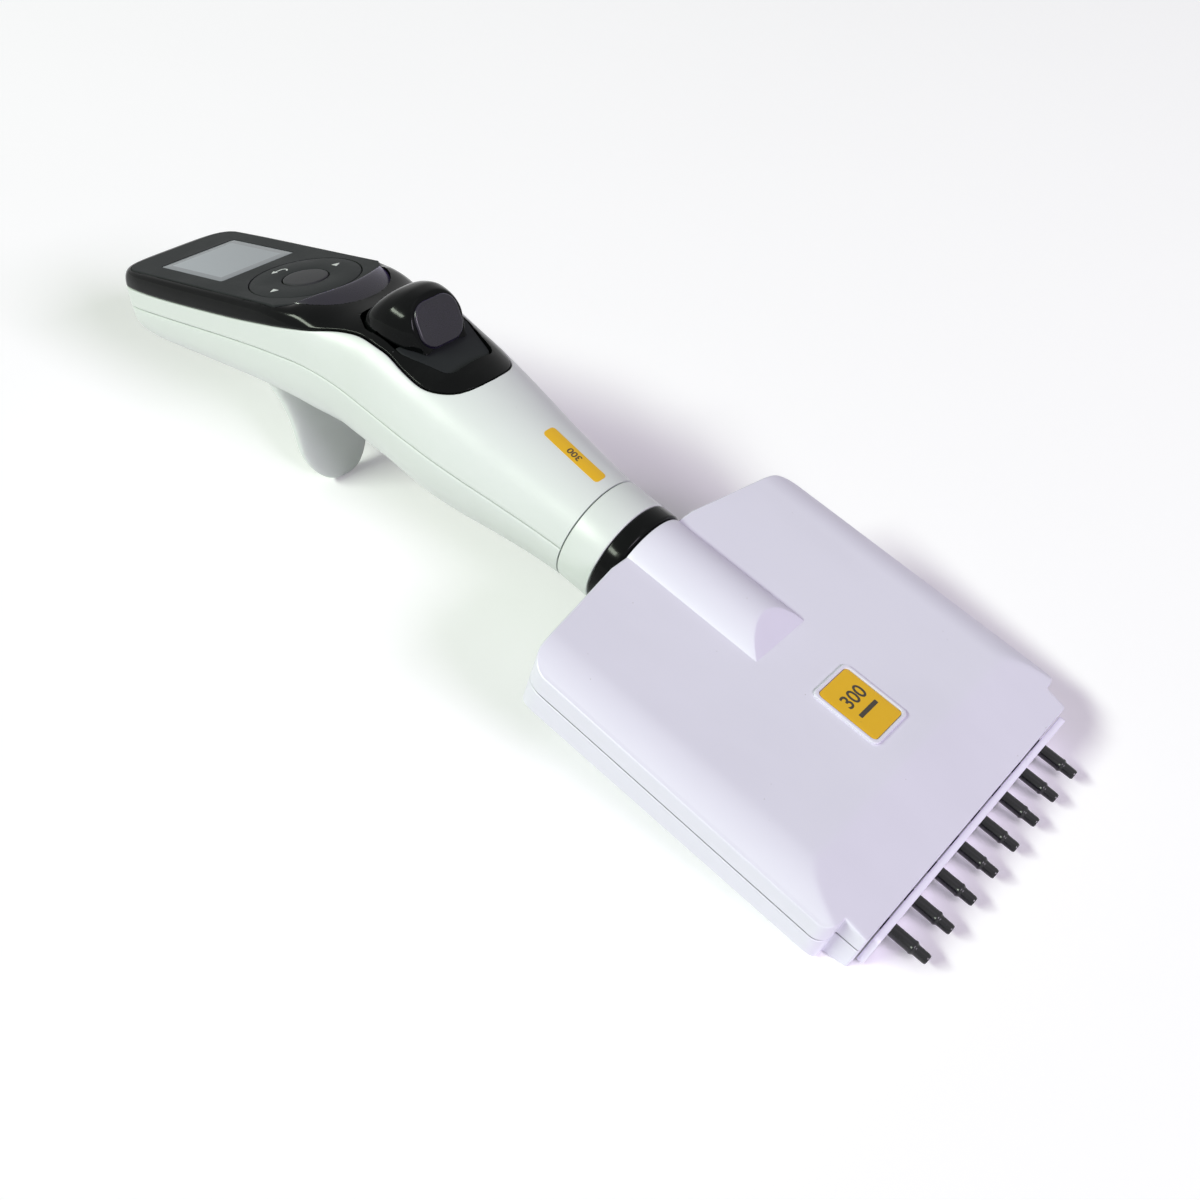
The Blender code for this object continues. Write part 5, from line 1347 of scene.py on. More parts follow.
    def build(self) -> None:
        """Build the panel and everything on it."""
        self.panel()
        self.window()
        self.keys()
        self.icons()
        self.run_button()


@dataclass
class Housing:
    """White front shell, white back shell with its finger hook, and black bezel."""

    controls: Controls
    row_step: float = 0.9
    lip: float = 0.35
    depth: float = 1.5
    half_gap: float = 0.13
    panel_pocket: float = -2.0
    run_pocket: float = -3.2
    pocket_gap: float = 0.22
    opening: tuple = ((-171.6, -8.15, 2.5), (-166.8, -10.75, 3.0), (-155.4, -10.75, 4.0),
                      (-143.4, -7.2, 3.2))
    opening_floor: float = 10.8
    hook_root_x: float = -185.2
    hook_root_z: float = -30.0
    hook_lean: float = 0.55
    hook_bottom: float = -45.25
    hook_half: float = 10.8
    hook_thick: float = 4.4
    hook_power: float = 3.2

    def rows(self, start: float, step: float) -> tuple[Array, Array]:
        """Distances and scales of rings from a start to the closed far end.

        The first rings lie close together for the rolled lip, and the steps then shrink
        a little towards the far end.

        Args:
            start: distance of the first ring from the mouth.
            step: distance between rings.

        Returns:
            The distances and the scales.
        """
        end = FORM.progress()[-1]
        count = max(8, round((end - start) / step))
        share = np.linspace(0, 1, count)
        at = start + (end - start) * (0.86 * share + 0.14 * np.sin(share * math.pi / 2))
        nose = start + np.array([0.0, 0.02, 0.06, 0.12, 0.2, 0.32, 0.48, 0.68])
        at = np.unique(np.concatenate([nose, at[at > nose[-1] + 0.1]]))
        cap_at, cap_scale = FORM.cap()
        return np.concatenate([at, cap_at]), np.concatenate([np.ones(len(at)), cap_scale])

    def opening_outline(self) -> Array:
        """Outline of the opening for the lever and its track, seen from above."""
        return rounded_outline(mirrored(self.opening), 0.3)

    def bezel(self) -> None:
        """Black bezel: sunk under the panel, at the run button and at the lever."""
        at, scale = self.rows(FORM.tip() + 0.18, 0.42)
        right = FORM.bands(at, scale, FORM.edge(), self.half_gap, None, 0.0, np.linspace(0, 1, 62), self.lip,
                           self.depth)
        points = whole(right)
        gap = self.pocket_gap
        points = sunk(points, PANEL_PAIR, self.controls.panel_outline(gap), self.panel_pocket, gap)
        points = sunk(points, PANEL_PAIR, self.controls.run_outline(gap), self.run_pocket, gap)
        points = sunk(points, FLAT_PAIR, self.opening_outline(), self.opening_floor, 0.24)
        Skin("bezel_shell").grid(points).object(Looks.BLACK, "handle", ["control_bezel"], sharp=38)

    def front_shell(self) -> None:
        """White front shell: under the bezel's edge and over the top ahead of it."""
        tip = FORM.tip()
        ahead = np.linspace(0, tip - 0.5, 60)
        nose = tip + np.array([-0.35, -0.25, -0.15])
        at, scale = self.rows(tip - 0.1, self.row_step)
        at = np.concatenate([ahead, nose, at])
        scale = np.concatenate([np.ones(len(ahead) + len(nose)), scale])
        right = FORM.bands(at, scale, FORM.seam(), self.half_gap, FORM.edge(), self.half_gap,
                           np.linspace(0, 1, 42), self.lip, self.depth)
        rim = right[:1] * np.array([1, 0.9, 0.9])
        right = np.concatenate([rim, right])
        left = right * np.array([1.0, -1.0, 1.0])
        Skin("front_housing").grid(right).grid(left).object(Looks.SHELL_PAINTED_SHADE, "handle", ["front_shell"], sharp=38)

    def back_shell(self) -> None:
        """White back shell, from seam to seam round the underside."""
        at, scale = self.rows(0.0, self.row_step)
        right = FORM.bands(at, scale, None, 0.0, FORM.seam(), self.half_gap, np.linspace(0, 1, 46), self.lip,
                           self.depth)
        rim = right[:1] * np.array([1, 0.9, 0.9])
        right = np.concatenate([rim, right])[:, ::-1]
        Skin("back_housing").grid(whole(right)).object(Looks.SHELL_PAINTED_SHADE, "handle", ["back_shell"], sharp=38)

    def hook(self) -> None:
        """Finger hook: squared sections down a leaning spine, flared at the root.

        At a height z the section is a superellipse of exponent 3.2. Its middle runs
        along the leaning spine, and its thickness and width follow eased tables. The
        tip closes on a half circle in both views.
        """
        bottom = self.hook_bottom
        low = bottom + self.hook_thick / 2
        z = np.concatenate([np.linspace(-12.0, -36.0, 49), np.linspace(-36.5, low - 0.02, 12)])
        turn = np.linspace(0, math.pi / 2, 10)[1:]
        closing = np.concatenate([np.ones(len(z)), np.cos(turn)])
        z = np.concatenate([z, low - self.hook_thick / 2 * np.sin(turn)])
        spine = self.hook_root_x - self.hook_lean * (z - self.hook_root_z)
        half = self.hook_thick / 2 * np.maximum(closing, 0.02)
        flare = eased([-44, -38, -32, -26, -20, -14, -12], [0, 0, 0.2, 1.1, 3.4, 8.4, 10.6], z)
        front, back = half + 0.55 * flare, half + flare
        short = np.minimum(z - bottom - self.hook_half, 0)
        arc = np.sqrt(np.clip(self.hook_half ** 2 - short ** 2, 1.0, None))
        wide = arc + eased([-46, -35, -30, -25, -20, -14, -12], [0, 0, 0.1, 0.9, 2.6, 4.6, 5.2], z)
        angle = np.linspace(0, 2 * math.pi, 96, endpoint=False)
        sine, cosine = np.sin(angle), np.cos(angle)
        power = 2 / self.hook_power
        thick = np.where(cosine >= 0, front[:, None], back[:, None])
        x = spine[:, None] + thick * np.sign(cosine) * np.abs(cosine) ** power
        y = wide[:, None] * np.sign(sine) * np.abs(sine) ** power
        rings = list(points_of(x, y, z[:, None]))
        Skin("finger_hook").body(rings).object(Looks.SHELL_PAINTED_SHADE, "handle", sharp=60)

    def underside(self) -> None:
        """Battery cover and charging contacts, laid on the back shell."""
        self.drape("battery_hatch", PANEL_PAIR, (-46.0, -8.0), 12.0, 3.0, Looks.SHELL_PAINTED_SHADE, "battery_cover")
        self.drape("charge_pad_1", FLAT_PAIR, (-158.0, -155.0), 2.5, 0.8, Looks.GOLD, "charge_contact_1")
        self.drape("charge_pad_2", FLAT_PAIR, (-152.0, -149.0), 2.5, 0.8, Looks.GOLD, "charge_contact_2")

    def drape(self, name: str, pair: tuple[Change, Change], span: tuple[float, float], half: float,
              corner: float, look: Looks, node: str) -> None:
        """Lay a plate with rolled edges on the underside of the handle.

        The plate's plan is filled with rings that shrink to its middle, and each point
        is dropped on the underside, whose height is interpolated from the rings of the
        handle.

        Args:
            name: the piece's name.
            pair: functions to and from the axes of the plan.
            span: where the plate starts and ends along those axes.
            half: its half width.
            corner: radius of its corners.
            look: its finish.
            node: the CAD node that it stands for.
        """
        outline = box((span[0], -half), (span[1], half), corner, 0.5)
        middle = outline.mean(0)
        at = np.linspace(30, FORM.progress()[-1], 260)
        angle = np.radians(-np.linspace(90, 12, 90))
        under = pair[0](FORM.section(at, np.ones_like(at), angle))
        rings = []
        profile = [(1.0, 0.9), (1.0, 0.0), (1.0 - 0.1 / half, -0.12), (1.0 - 0.3 / half, -0.2)]
        profile += [(share, -0.2) for share in (0.9, 0.75, 0.55, 0.35, 0.15, 0.001)]
        for share, lift in profile:
            plan = middle + (outline - middle) * share
            rings.append(points_of(*plan.T, self.height_under(under, plan) + lift))
        Skin(name).body(list(pair[1](np.stack(rings)))).object(look, "handle", [node])

    @staticmethod
    def height_under(under: Array, plan: Array) -> Array:
        """Height of the underside at plan points, by interpolation between rings.

        Args:
            under: (rings, angles, 3) points of the underside.
            plan: (n, 2) points of the plan.

        Returns:
            The heights.
        """
        rings = under[np.argsort(under[:, 0, 0])]
        across, row = np.unique(np.abs(plan[:, 1]), return_inverse=True)
        height, along = [np.stack([[np.interp(a, ring[:, 1], ring[:, k]) for ring in rings] for a in across])
                         for k in (2, 0)]
        return np.array([np.interp(u, along[k], height[k]) for u, k in zip(plan[:, 0], row)])

    def build(self) -> None:
        """Build the shells, the hook and what lies on them."""
        self.front_shell()
        self.back_shell()
        self.bezel()
        self.hook()
        self.underside()


# Eject lever


@dataclass
class Lever:
    """Domed eject lever, its thumb pad and the floor of its track."""

    back: float = -171.0
    peak: float = 25.3
    base: float = 13.4
    power: float = 2.4
    domes: tuple = ((0, 10.4, 5.6), (0.9, 8.1, 7.6), (2.9, 4.5, 9.4), (5.8, 1.7, 10.2), (8.8, 0.3, 10.4),
                    (11.6, 0, 10.1), (14.5, 0.3, 9.3), (17.5, 1.1, 7.4), (20.6, 2.3, 5.8))
    pad_x: float = PAD_MIDDLE[0]
    pad_z: float = PAD_MIDDLE[2]
    pad_length: float = 10.6
    pad_width: float = 13.0
    pad_corner: float = 4.0
    cut_edge: float = 0.35
    under_from: float = -164.0
    under_z: float = 15.95
    track: tuple = ((-157.4, -10.45, 0.1), (-155.4, -10.45, 3.8), (-143.7, -6.9, 3.0))
    track_top: float = 15.6
    track_thickness: float = 1.5

    def hood(self) -> None:
        """Dome of the lever, cut smoothly by the plane of the pad.

        A section is a superellipse of exponent 2.4. Where a point stands out of the
        pad's plane by d, it moves back along the normal by the soft positive part
        (d + sqrt(d^2 + e^2)) / 2, so that the cut has a rounded edge.
        """
        table = np.array(self.domes, float)
        behind = np.unique(np.concatenate([np.linspace(0, 1.2, 7), np.linspace(1.2, 20.6, 66)]))
        below = eased(table[:, 0], table[:, 1], behind)
        half = eased(table[:, 0], table[:, 2], behind)
        angle = np.linspace(0, math.pi, 81)
        power = 2 / self.power
        y = half[:, None] * (np.sign(np.cos(angle)) * np.abs(np.cos(angle)) ** power)[None]
        rise = (self.peak - below - self.base)[:, None]
        z = self.base + rise * np.abs(np.sin(angle))[None] ** power
        x = np.broadcast_to((self.back + behind)[:, None], y.shape)
        lean = math.radians(PAD_TILT)
        over = (x - self.pad_x) * math.sin(lean) + (z - self.pad_z) * math.cos(lean)
        soft = 0.5 * (over + np.sqrt(over ** 2 + self.cut_edge ** 2))
        soft = np.where(over > -2.5, soft, 0.0)
        x, z = x - soft * math.sin(lean), z - soft * math.cos(lean)
        lift = step_between(self.under_from - 0.4, self.under_from + 0.2, x)
        z = np.maximum(z, self.base + (self.under_z - self.base) * lift)
        x = np.minimum(x, self.pad_x + (self.pad_z - z) / math.tan(lean) - 0.03)
        dome = points_of(x, y, z)
        floor = dome[:, -2:0:-1].copy()
        floor[..., 1] *= 0.97
        floor[..., 2] = self.base + (self.under_z - self.base) * lift[:, -2:0:-1]
        rings = list(np.concatenate([dome, floor], 1))
        Skin("lever_hood").body(rings).object(Looks.BLACK, "lever", ["eject_lever"], sharp=42)

    def pad(self) -> None:
        """Thumb pad: rounded square with a shallow dish and a thin lip in front."""
        long, wide = self.pad_length / 2, self.pad_width / 2
        outline = box((-long, -wide), (long, wide), self.pad_corner, 0.3)
        rings = slab_rings(outline, -0.9, 0.6, 0.45, -0.35, 10)
        Skin("thumb_pad_cap", PAD).body(rings).object(Looks.VIOLET, "lever", ["thumb_pad"], sharp=50)

    def floor(self) -> None:
        """Floor of the track, with a rounded front outline."""
        outline = rounded_outline(mirrored(self.track), 0.35)
        rings = slab_rings(outline, self.track_top - self.track_thickness, self.track_top, 0.25)
        Skin("track_floor").body(rings).object(Looks.GREY, "handle", ["lever_track"])

    def build(self) -> None:
        """Build the lever's pieces."""
        self.hood()
        self.pad()
        self.floor()


# Head


@dataclass
class Head:
    """Wide flat head: two rolled covers, half-round boss, collar and number plate."""

    length: float = 87.1
    top: float = 8.9
    front_edge: float = 5.45
    back_edge: float = 3.05
    front_seam: float = 1.25
    back_seam: float = 0.95
    roll_width: float = 10.0
    half: float = 46.0
    end_height: float = 5.15
    edge: float = 0.45
    boss_radius: float = 12.6
    boss_length: float = 35.6
    boss_facet: float = 31.0
    collar_radius: float = 12.95
    collar_back: float = -91.5
    collar_front: float = -87.4
    coupling_back: float = -100.5
    coupling_front: float = -91.8
    ring_bore: float = 9.0
    plate_low: tuple = (-39.1, -6.35)
    plate_high: tuple = (-22.5, 6.35)
    plate_corner: float = 1.4
    plate_base: float = 8.4
    plate_top: float = 9.4
    frame_width: float = 0.8
    label_inset: float = 0.95
    outline: tuple = ((-87.1, 14.0, 0.0), (-82.1, 45.1, 6.0), (-5.5, 46.0, 3.0), (-5.5, 41.4, 0.3),
                      (0.0, 41.4, 0.6))

    def plan(self) -> Patch:
        """Plan of the head, inset by the edge's radius and cut into lines across."""
        ring = rounded_outline(mirrored(self.outline)[::-1], 0.4)
        ring = grown(ring, -self.edge)
        side = ring[ring[:, 1] > 13.0]
        side = side[np.argsort(side[:, 0] - 0.002 * side[:, 1] * np.where(side[:, 0] > -10, 1, -1))]
        along = np.maximum.accumulate(side[:, 0] + 1e-4 * np.arange(len(side)))
        share = np.linspace(-1, 1, 121)
        share = 0.5 + 0.5 * (0.7 * share + 0.3 * np.sin(share * math.pi / 2))
        return Patch.between(along, -side[:, 1], side[:, 1], share, 6)

    def height(self, x: Array, y: Array, edge: float) -> Array:
        """Height of a cover over the head's middle plane.

        The roll at a side is an arc that leaves the flat top level and falls to the
        edge; the facet at the end falls as the tool leans on the bench. The lower of
        the two is taken, with a crease rounded by a soft minimum.

        Args:
            x: distances along the tool.
            y: distances across.
            edge: height of the roll at the side.

        Returns:
            The heights.
        """
        drop = self.top - edge
        radius = (self.roll_width ** 2 + drop ** 2) / (2 * drop)
        reach = np.clip(np.abs(y) - (self.half - self.roll_width), 0, self.roll_width)
        flat = self.top - radius + np.sqrt(radius ** 2 - reach ** 2)
        facet = self.end_height - x * math.tan(math.radians(REST_TILT))
        return 0.5 * (flat + facet - np.sqrt((flat - facet) ** 2 + 0.03))

    def cover(self, name: str, node: str, sign: int, edge: float, seam: float) -> None:
        """One cover: its face, a rolled edge, a straight skirt and a turned-in foot.

        Args:
            name: the piece's name.
            node: the CAD node that it stands for.
            sign: 1 for the front cover, -1 for the back cover.
            edge: height of its roll at the sides.
            seam: height of its seam, counted like the face.
        """
        patch = self.plan()
        skirt = roll_skirt(self.edge, 1.0, 3) + [(self.edge, 2.0), (self.edge - 0.2, 2.2)]
        y, x, z = np.moveaxis(patch.points(self.height(patch.v, patch.u, edge), skirt), -1, 0)
        z = np.where(patch.level == 5, seam + 0.18, np.where(patch.level == 6, seam, z))
        Skin(name).grid(points_of(x, y, sign * z)).object(Looks.WHITE_PAINTED_VIOLET, "head", [node], sharp=24)

    def boss(self) -> None:
        """Half-round boss that ends in a leaning facet, with rounded borders.

        A point of the facet at height z lies at the front minus the facet's run plus
        (radius - z) / slope; the rings shrink towards the facet's middle.
        """
        front = self.boss_length - self.length
        lift = self.boss_radius - self.top
        run = lift / math.tan(math.radians(self.boss_facet))
        angle = np.linspace(0, math.pi, 97)
        cosine, sine = np.cos(angle), np.sin(angle)
        radius = self.boss_radius

        def facet(z: Array) -> Array:
            """Return where the facet's plane stands at a height."""
            return front - run + (radius - z) * run / lift

        edge, rim = 0.3, 0.25
        rings = [points_of(move - self.length, (radius - move) * cosine, (radius - move) * sine)
                 for move in (rim, 0.07)]
        start, end = rim - self.length, facet(radius * sine) - edge
        for share in np.linspace(0, 1, 24):
            rings.append(points_of((1 - share) * start + share * end, radius * cosine, radius * sine))
        for turn in np.linspace(0, 1, 4)[1:]:
            shrunk = radius - edge * turn ** 2 * 0.8
            end = facet(shrunk * sine) - edge * (1 - turn) ** 2
            rings.append(points_of(end, shrunk * cosine, shrunk * sine))
        for share in np.linspace(1, 0, 10)[1:]:
            y, z = (radius - 0.24) * cosine * share, 5.0 + ((radius - 0.24) * sine - 5.0) * share
            rings.append(points_of(facet(z), y, z))
        skin = Skin("boss_shell").grid(np.stack(rings))
        skin.object(Looks.WHITE_PAINTED_VIOLET, "head", closed=False, sharp=26)

    def rings(self) -> None:
        """Black swivel collar and white coupling ring, turned about the tool's axis."""
        bore, radius, slope = self.ring_bore, self.collar_radius, 0.5
        collar = softened([(self.collar_back, bore), (self.collar_back, radius),
                           (self.collar_front - slope, radius), (self.collar_front, radius - slope),
                           (self.collar_front, bore)], 0.25, 4)
        collar_skin = Skin("collar_ring").body(turned_rings(collar, count=160))
        collar_skin.object(Looks.BLACK, "head", ["swivel_collar"], sharp=40)
        band = softened([(self.coupling_back, bore), (self.coupling_back, radius),
                         (self.coupling_front, radius), (self.coupling_front, bore)], 0.35, 4)
        band_skin = Skin("coupling_band").body(turned_rings(band, count=160))
        band_skin.object(Looks.SHELL_PAINTED_SHADE, "handle", ["coupling_ring"], sharp=40)

    def plates(self) -> None:
        """Raised frame with its yellow number plate, printed with a plain number."""
        low, high = np.array(self.plate_low), np.array(self.plate_high)
        outer = box(low, high, self.plate_corner, 0.3)
        middle, half = outer.mean(0), (high - low) / 2
        inner = middle + (outer - middle) * (half - self.frame_width) / half
        frame_rings = washer_rings(outer, inner, self.plate_base, self.plate_top, 0.2)
        Skin("plate_frame").rings(frame_rings).object(Looks.WHITE_PAINTED_VIOLET, "head", ["number_plate_frame"])
        label = box(low + self.label_inset, high - self.label_inset, 0.8, 0.3)
        rings = slab_rings(label, self.plate_base + 0.1, self.plate_top - 0.2, 0.1)
        Skin("number_label").body(rings).object(Looks.YELLOW, "head", ["number_plate"])

    def build(self) -> None:
        """Build the head's pieces."""
        self.cover("front_cover", "head_front_cover", 1, self.front_edge, self.front_seam)
        self.cover("back_cover", "head_back_cover", -1, self.back_edge, -self.back_seam)
        self.boss()
        self.rings()
        self.plates()


@dataclass
class Stripper:
    """Stripper plate: a rolled rim, and a cell with a hole round each fitting."""

    pitch: float = 9.0
    count: int = 8
    low: float = 0.3
    high: float = 1.8
    half_width: float = 39.3
    half_height: float = 4.4
    corner: float = 1.0
    edge: float = 0.2
    hole_mouth: float = 1.87
    hole: float = 1.75
    chamfer: float = 0.12

    def rim(self) -> list[Array]:
        """Rings of the plate's side, over its upper edge and back under its lower one."""
        low, high, edge = self.low, self.high, self.edge
        reach = np.array([self.half_height, self.half_width])
        outline = box(-reach, reach, self.corner, 0.4)
        roll = np.linspace(0, math.pi / 2, 4)
        front = [(edge * (1 - math.sin(a)), high - edge * (1 - math.cos(a))) for a in roll]
        back = [(edge * (1 - math.sin(a)), low + edge * (1 - math.cos(a))) for a in roll[::-1]]
        return [points_of(x, *grown(outline, -move).T[::-1]) for move, x in front + back]

    def holed(self, border: Array, middle: float) -> list[Array]:
        """Rings of one cell, from its border through its hole and back.

        Each border point is led straight to the point of the hole's circle in the same
        direction, on the front face and on the back face, and the circles are joined
        through the hole.

        Args:
            border: (n, 2) points round the cell.
            middle: place of the hole across the tool.

        Returns:
            Rings of (n, 3) points.
        """
        centre = np.array([middle, 0.0])
        way = unit(border - centre)
        mouth, hole, low, high = self.hole_mouth, self.hole, self.low, self.high
        rings = []
        for share, radius, x in ((0, mouth, high), (0.5, mouth, high), (1, mouth, high),
                                 (1, hole, high - self.chamfer), (1, hole, low + self.chamfer),
                                 (1, mouth, low), (0.5, mouth, low), (0, mouth, low)):
            ring = border + (centre + way * radius - border) * share
            rings.append(points_of(x, *ring.T))
        return rings

    @staticmethod
    def cell(start: float, end: float, tall: float, first: float, last: float) -> Array:
        """Border of one cell, anticlockwise, whose corners may be rounded.

        Args:
            start: where the cell starts across the tool.
            end: where it ends.
            tall: its half height.
            first: radius of its corners at the start.
            last: radius of its corners at the end.

        Returns:
            (n, 2) points.
        """
        turn = np.linspace(0, math.pi / 2, 5)
        path = []
        for centre, radius, angle in (((end - last, -tall + last), last, -math.pi / 2),
                                      ((end - last, tall - last), last, 0.0),
                                      ((start + first, tall - first), first, math.pi / 2),
                                      ((start + first, -tall + first), first, math.pi)):
            swing = angle + (turn if radius > 0 else turn[:1])
            path.append(np.array(centre) + radius * np.stack([np.cos(swing), np.sin(swing)], -1))
        corners = np.concatenate(path)
        share = np.linspace(0, 1, 8, endpoint=False)[None, :, None]
        return (corners[:, None] * (1 - share) + np.roll(corners, -1, 0)[:, None] * share).reshape(-1, 2)

    def build(self) -> None:
        """Build the plate from its rim and its cells."""
        skin = Skin("stripper_bar").rings(self.rim())
        rounding = self.corner - self.edge
        for i in range(self.count):
            middle = (i - (self.count - 1) / 2) * self.pitch
            first, last = i == 0, i == self.count - 1
            start = self.edge - self.half_width if first else middle - self.pitch / 2
            end = self.half_width - self.edge if last else middle + self.pitch / 2
            border = self.cell(start, end, self.half_height - self.edge, rounding * first, rounding * last)
            skin.rings(self.holed(border, middle))
        skin.object(Looks.BAR_PAINTED_LIGHT, "stripper", ["stripper_plate"], closed=False, sharp=40)


@dataclass
class Fittings:
    """The eight tip fittings, turned, with a seating step and an open bore."""

    pitch: float = 9.0
    count: int = 8
    profile: tuple = ((-5.6, 0.55), (-5.6, 2.1), (-1.2, 2.1), (-1.2, 1.4), (6.4, 1.4), (6.6, 1.5),
                      (6.9, 1.5), (7.1, 1.38), (7.4, 1.15), (9.9, 1.12), (10.3, 0.95), (10.3, 0.55),
                      (2.0, 0.5))

    def build(self) -> None:
        """Turn each fitting at its channel."""
        profile = softened(self.profile, 0.12, 2)
        for i in range(self.count):
            y = (i - (self.count - 1) / 2) * self.pitch
            rings = turned_rings(profile, y, 48)
            Skin(f"fitting_{i + 1}").body(rings).object(Looks.FITTING, "head", [f"tip_fitting_{i + 1}"])


# Printing


@dataclass
class Printing:
    """Plain numbers and a bar, printed on the two yellow plates."""

    thickness: float = 0.03
    number: str = "300"
    head_size: float = 4.6
    head_middle: tuple = (-32.6, 0.2)
    head_height: float = 9.21
    bar_low: tuple = (-29.4, -2.9)
    bar_high: tuple = (-28.4, 3.4)
    volume_size: float = 2.5
    volume_middle: tuple = (-111.7, 0.0)
    label_far: float = -120.0
    label_near: float = -103.4
    label_half: float = 1.8
    label_corner: float = 0.9
    label_lift: float = 0.06

    @staticmethod
    def grip_top(x: Array, y: Array) -> Array:
        """Height of the round part of the grip, from its half width and its depth.

        Args:
            x: distances along the tool.
            y: distances across.

        Returns:
            The heights.
        """
        table = np.array(HandleForm.grip, float)
        behind = HandleForm.front - x
        top, depth, half = [eased(table[:, 0], table[:, k], behind) for k in (1, 3, 4)]
        return top - depth / 2 + depth / 2 * np.sqrt(np.clip(1 - (y / half) ** 2, 0, 1))

    def glyphs(self, text: str, size: float) -> tuple[Array, Array]:
        """Mesh of a plain number, from the built-in font.

        Args:
            text: the number.
            size: height of the line in millimetres.

        Returns:
            Its points about its middle, in millimetres, and its triangles.
        """
        curve = bpy.data.curves.new("glyphs", "FONT")
        curve.body = text
        curve.size = size
        curve.align_x = "CENTER"
        curve.align_y = "CENTER"
        curve.offset = size * 0.012
        holder = bpy.data.objects.new("glyphs", curve)
        bpy.context.scene.collection.objects.link(holder)
        bpy.context.view_layer.update()
        mesh = holder.to_mesh()
        mesh.calc_loop_triangles()
        points = np.empty(len(mesh.vertices) * 3)
        mesh.vertices.foreach_get("co", points)
        faces = np.empty(len(mesh.loop_triangles) * 3, np.int32)
        mesh.loop_triangles.foreach_get("vertices", faces)
        holder.to_mesh_clear()
        bpy.data.objects.remove(holder)
        bpy.data.curves.remove(curve)
        return points.reshape(-1, 3), faces.reshape(-1, 3)

    def print_on(self, name: str, text: str, size: float, centre: tuple[float, float], turn: float,
                 height: Callable[[Array, Array], Array], body: str) -> None:
        """Lay a number on a surface whose height is a function of place.

        Args:
            name: the piece's name.
            text: the number.
            size: height of the line in millimetres.
            centre: where its middle lies.
            turn: angle in degrees by which it is turned about +Z.
            height: function of x and y that returns the surface's height.
            body: the CAD body that it moves with.
        """
        points, faces = self.glyphs(text, size)
        angle = math.radians(turn)
        x = centre[0] + points[:, 0] * math.cos(angle) - points[:, 1] * math.sin(angle)
        y = centre[1] + points[:, 0] * math.sin(angle) + points[:, 1] * math.cos(angle)
        placed = TOOL.place(points_of(x, y, height(x, y)))
        mesh = bpy.data.meshes.new(name)
        mesh.from_pydata(placed.tolist(), [], faces.tolist())
        item = bpy.data.objects.new(name, mesh)
        bpy.context.scene.collection.objects.link(item)
        mesh.materials.append(Looks.PRINT.value.material())
        film = item.modifiers.new("Film", "SOLIDIFY")
        film.thickness = self.thickness * MM
        film.offset = 1.0
        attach(item, body)
        LOG.info("%s: %d triangles", name, len(faces))

    def build(self) -> None:
        """Print both plates."""
        self.print_on("head_number", self.number, self.head_size, self.head_middle, 90.0,
                      lambda x, y: np.full(x.shape, self.head_height), "head")
        bar = slab_rings(box(self.bar_low, self.bar_high, 0.1, 0.2), 9.15, 9.235, 0.02)
        Skin("head_bar").body(bar).object(Looks.PRINT, "head")
        self.label()
        self.print_on("volume_number", self.number, self.volume_size, self.volume_middle, 180.0,
                      lambda x, y: self.grip_top(x, y) + self.label_lift + 0.01, "handle")

    def label(self) -> None:
        """Yellow plate on the round grip, with a rolled edge."""
        outline = box((self.label_far, -self.label_half), (self.label_near, self.label_half),
                      self.label_corner, 0.2)
        middle, lift = outline.mean(0), self.label_lift
        steps = [((1.0, 1.0), -0.4), ((1.0, 1.0), lift * 0.4), ((0.997, 1.0), lift)]
        steps += [((share, share), lift) for share in (0.8, 0.6, 0.4, 0.2, 0.01)]
        rings = []
        for scale, rise in steps:
            plan = middle + (outline - middle) * np.array(scale)
            rings.append(points_of(*plan.T, self.grip_top(*plan.T) + rise))
        Skin("volume_label").body(rings).object(Looks.YELLOW, "handle", ["volume_plate"])


# Parts that keep their CAD mesh


@dataclass
class CadDress:
    """Gives each CAD node that is still shown a finish: steel, unless it is listed."""

    listed: dict = field(default_factory=lambda: {
        "battery_pack": Looks.WRAP, "main_board": Looks.BOARD, "keypad_mat": Looks.RUBBER,
        "seal_plate": Looks.RUBBER, "lcd_module": Looks.FRAME, "motor_cradle": Looks.FRAME,
        "cylinder_block": Looks.FRAME, "eject_slider": Looks.FRAME})

    def build(self) -> None:
        """Assign the finishes."""
        for name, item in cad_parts.items():
            if item.hide_render:
                continue
            look = self.listed.get(name, Looks.STEEL)
            item.data.materials.clear()
            item.data.materials.append(look.value.material())
            LOG.info("%s keeps its CAD mesh and takes %s", name, look.name)


# Stage


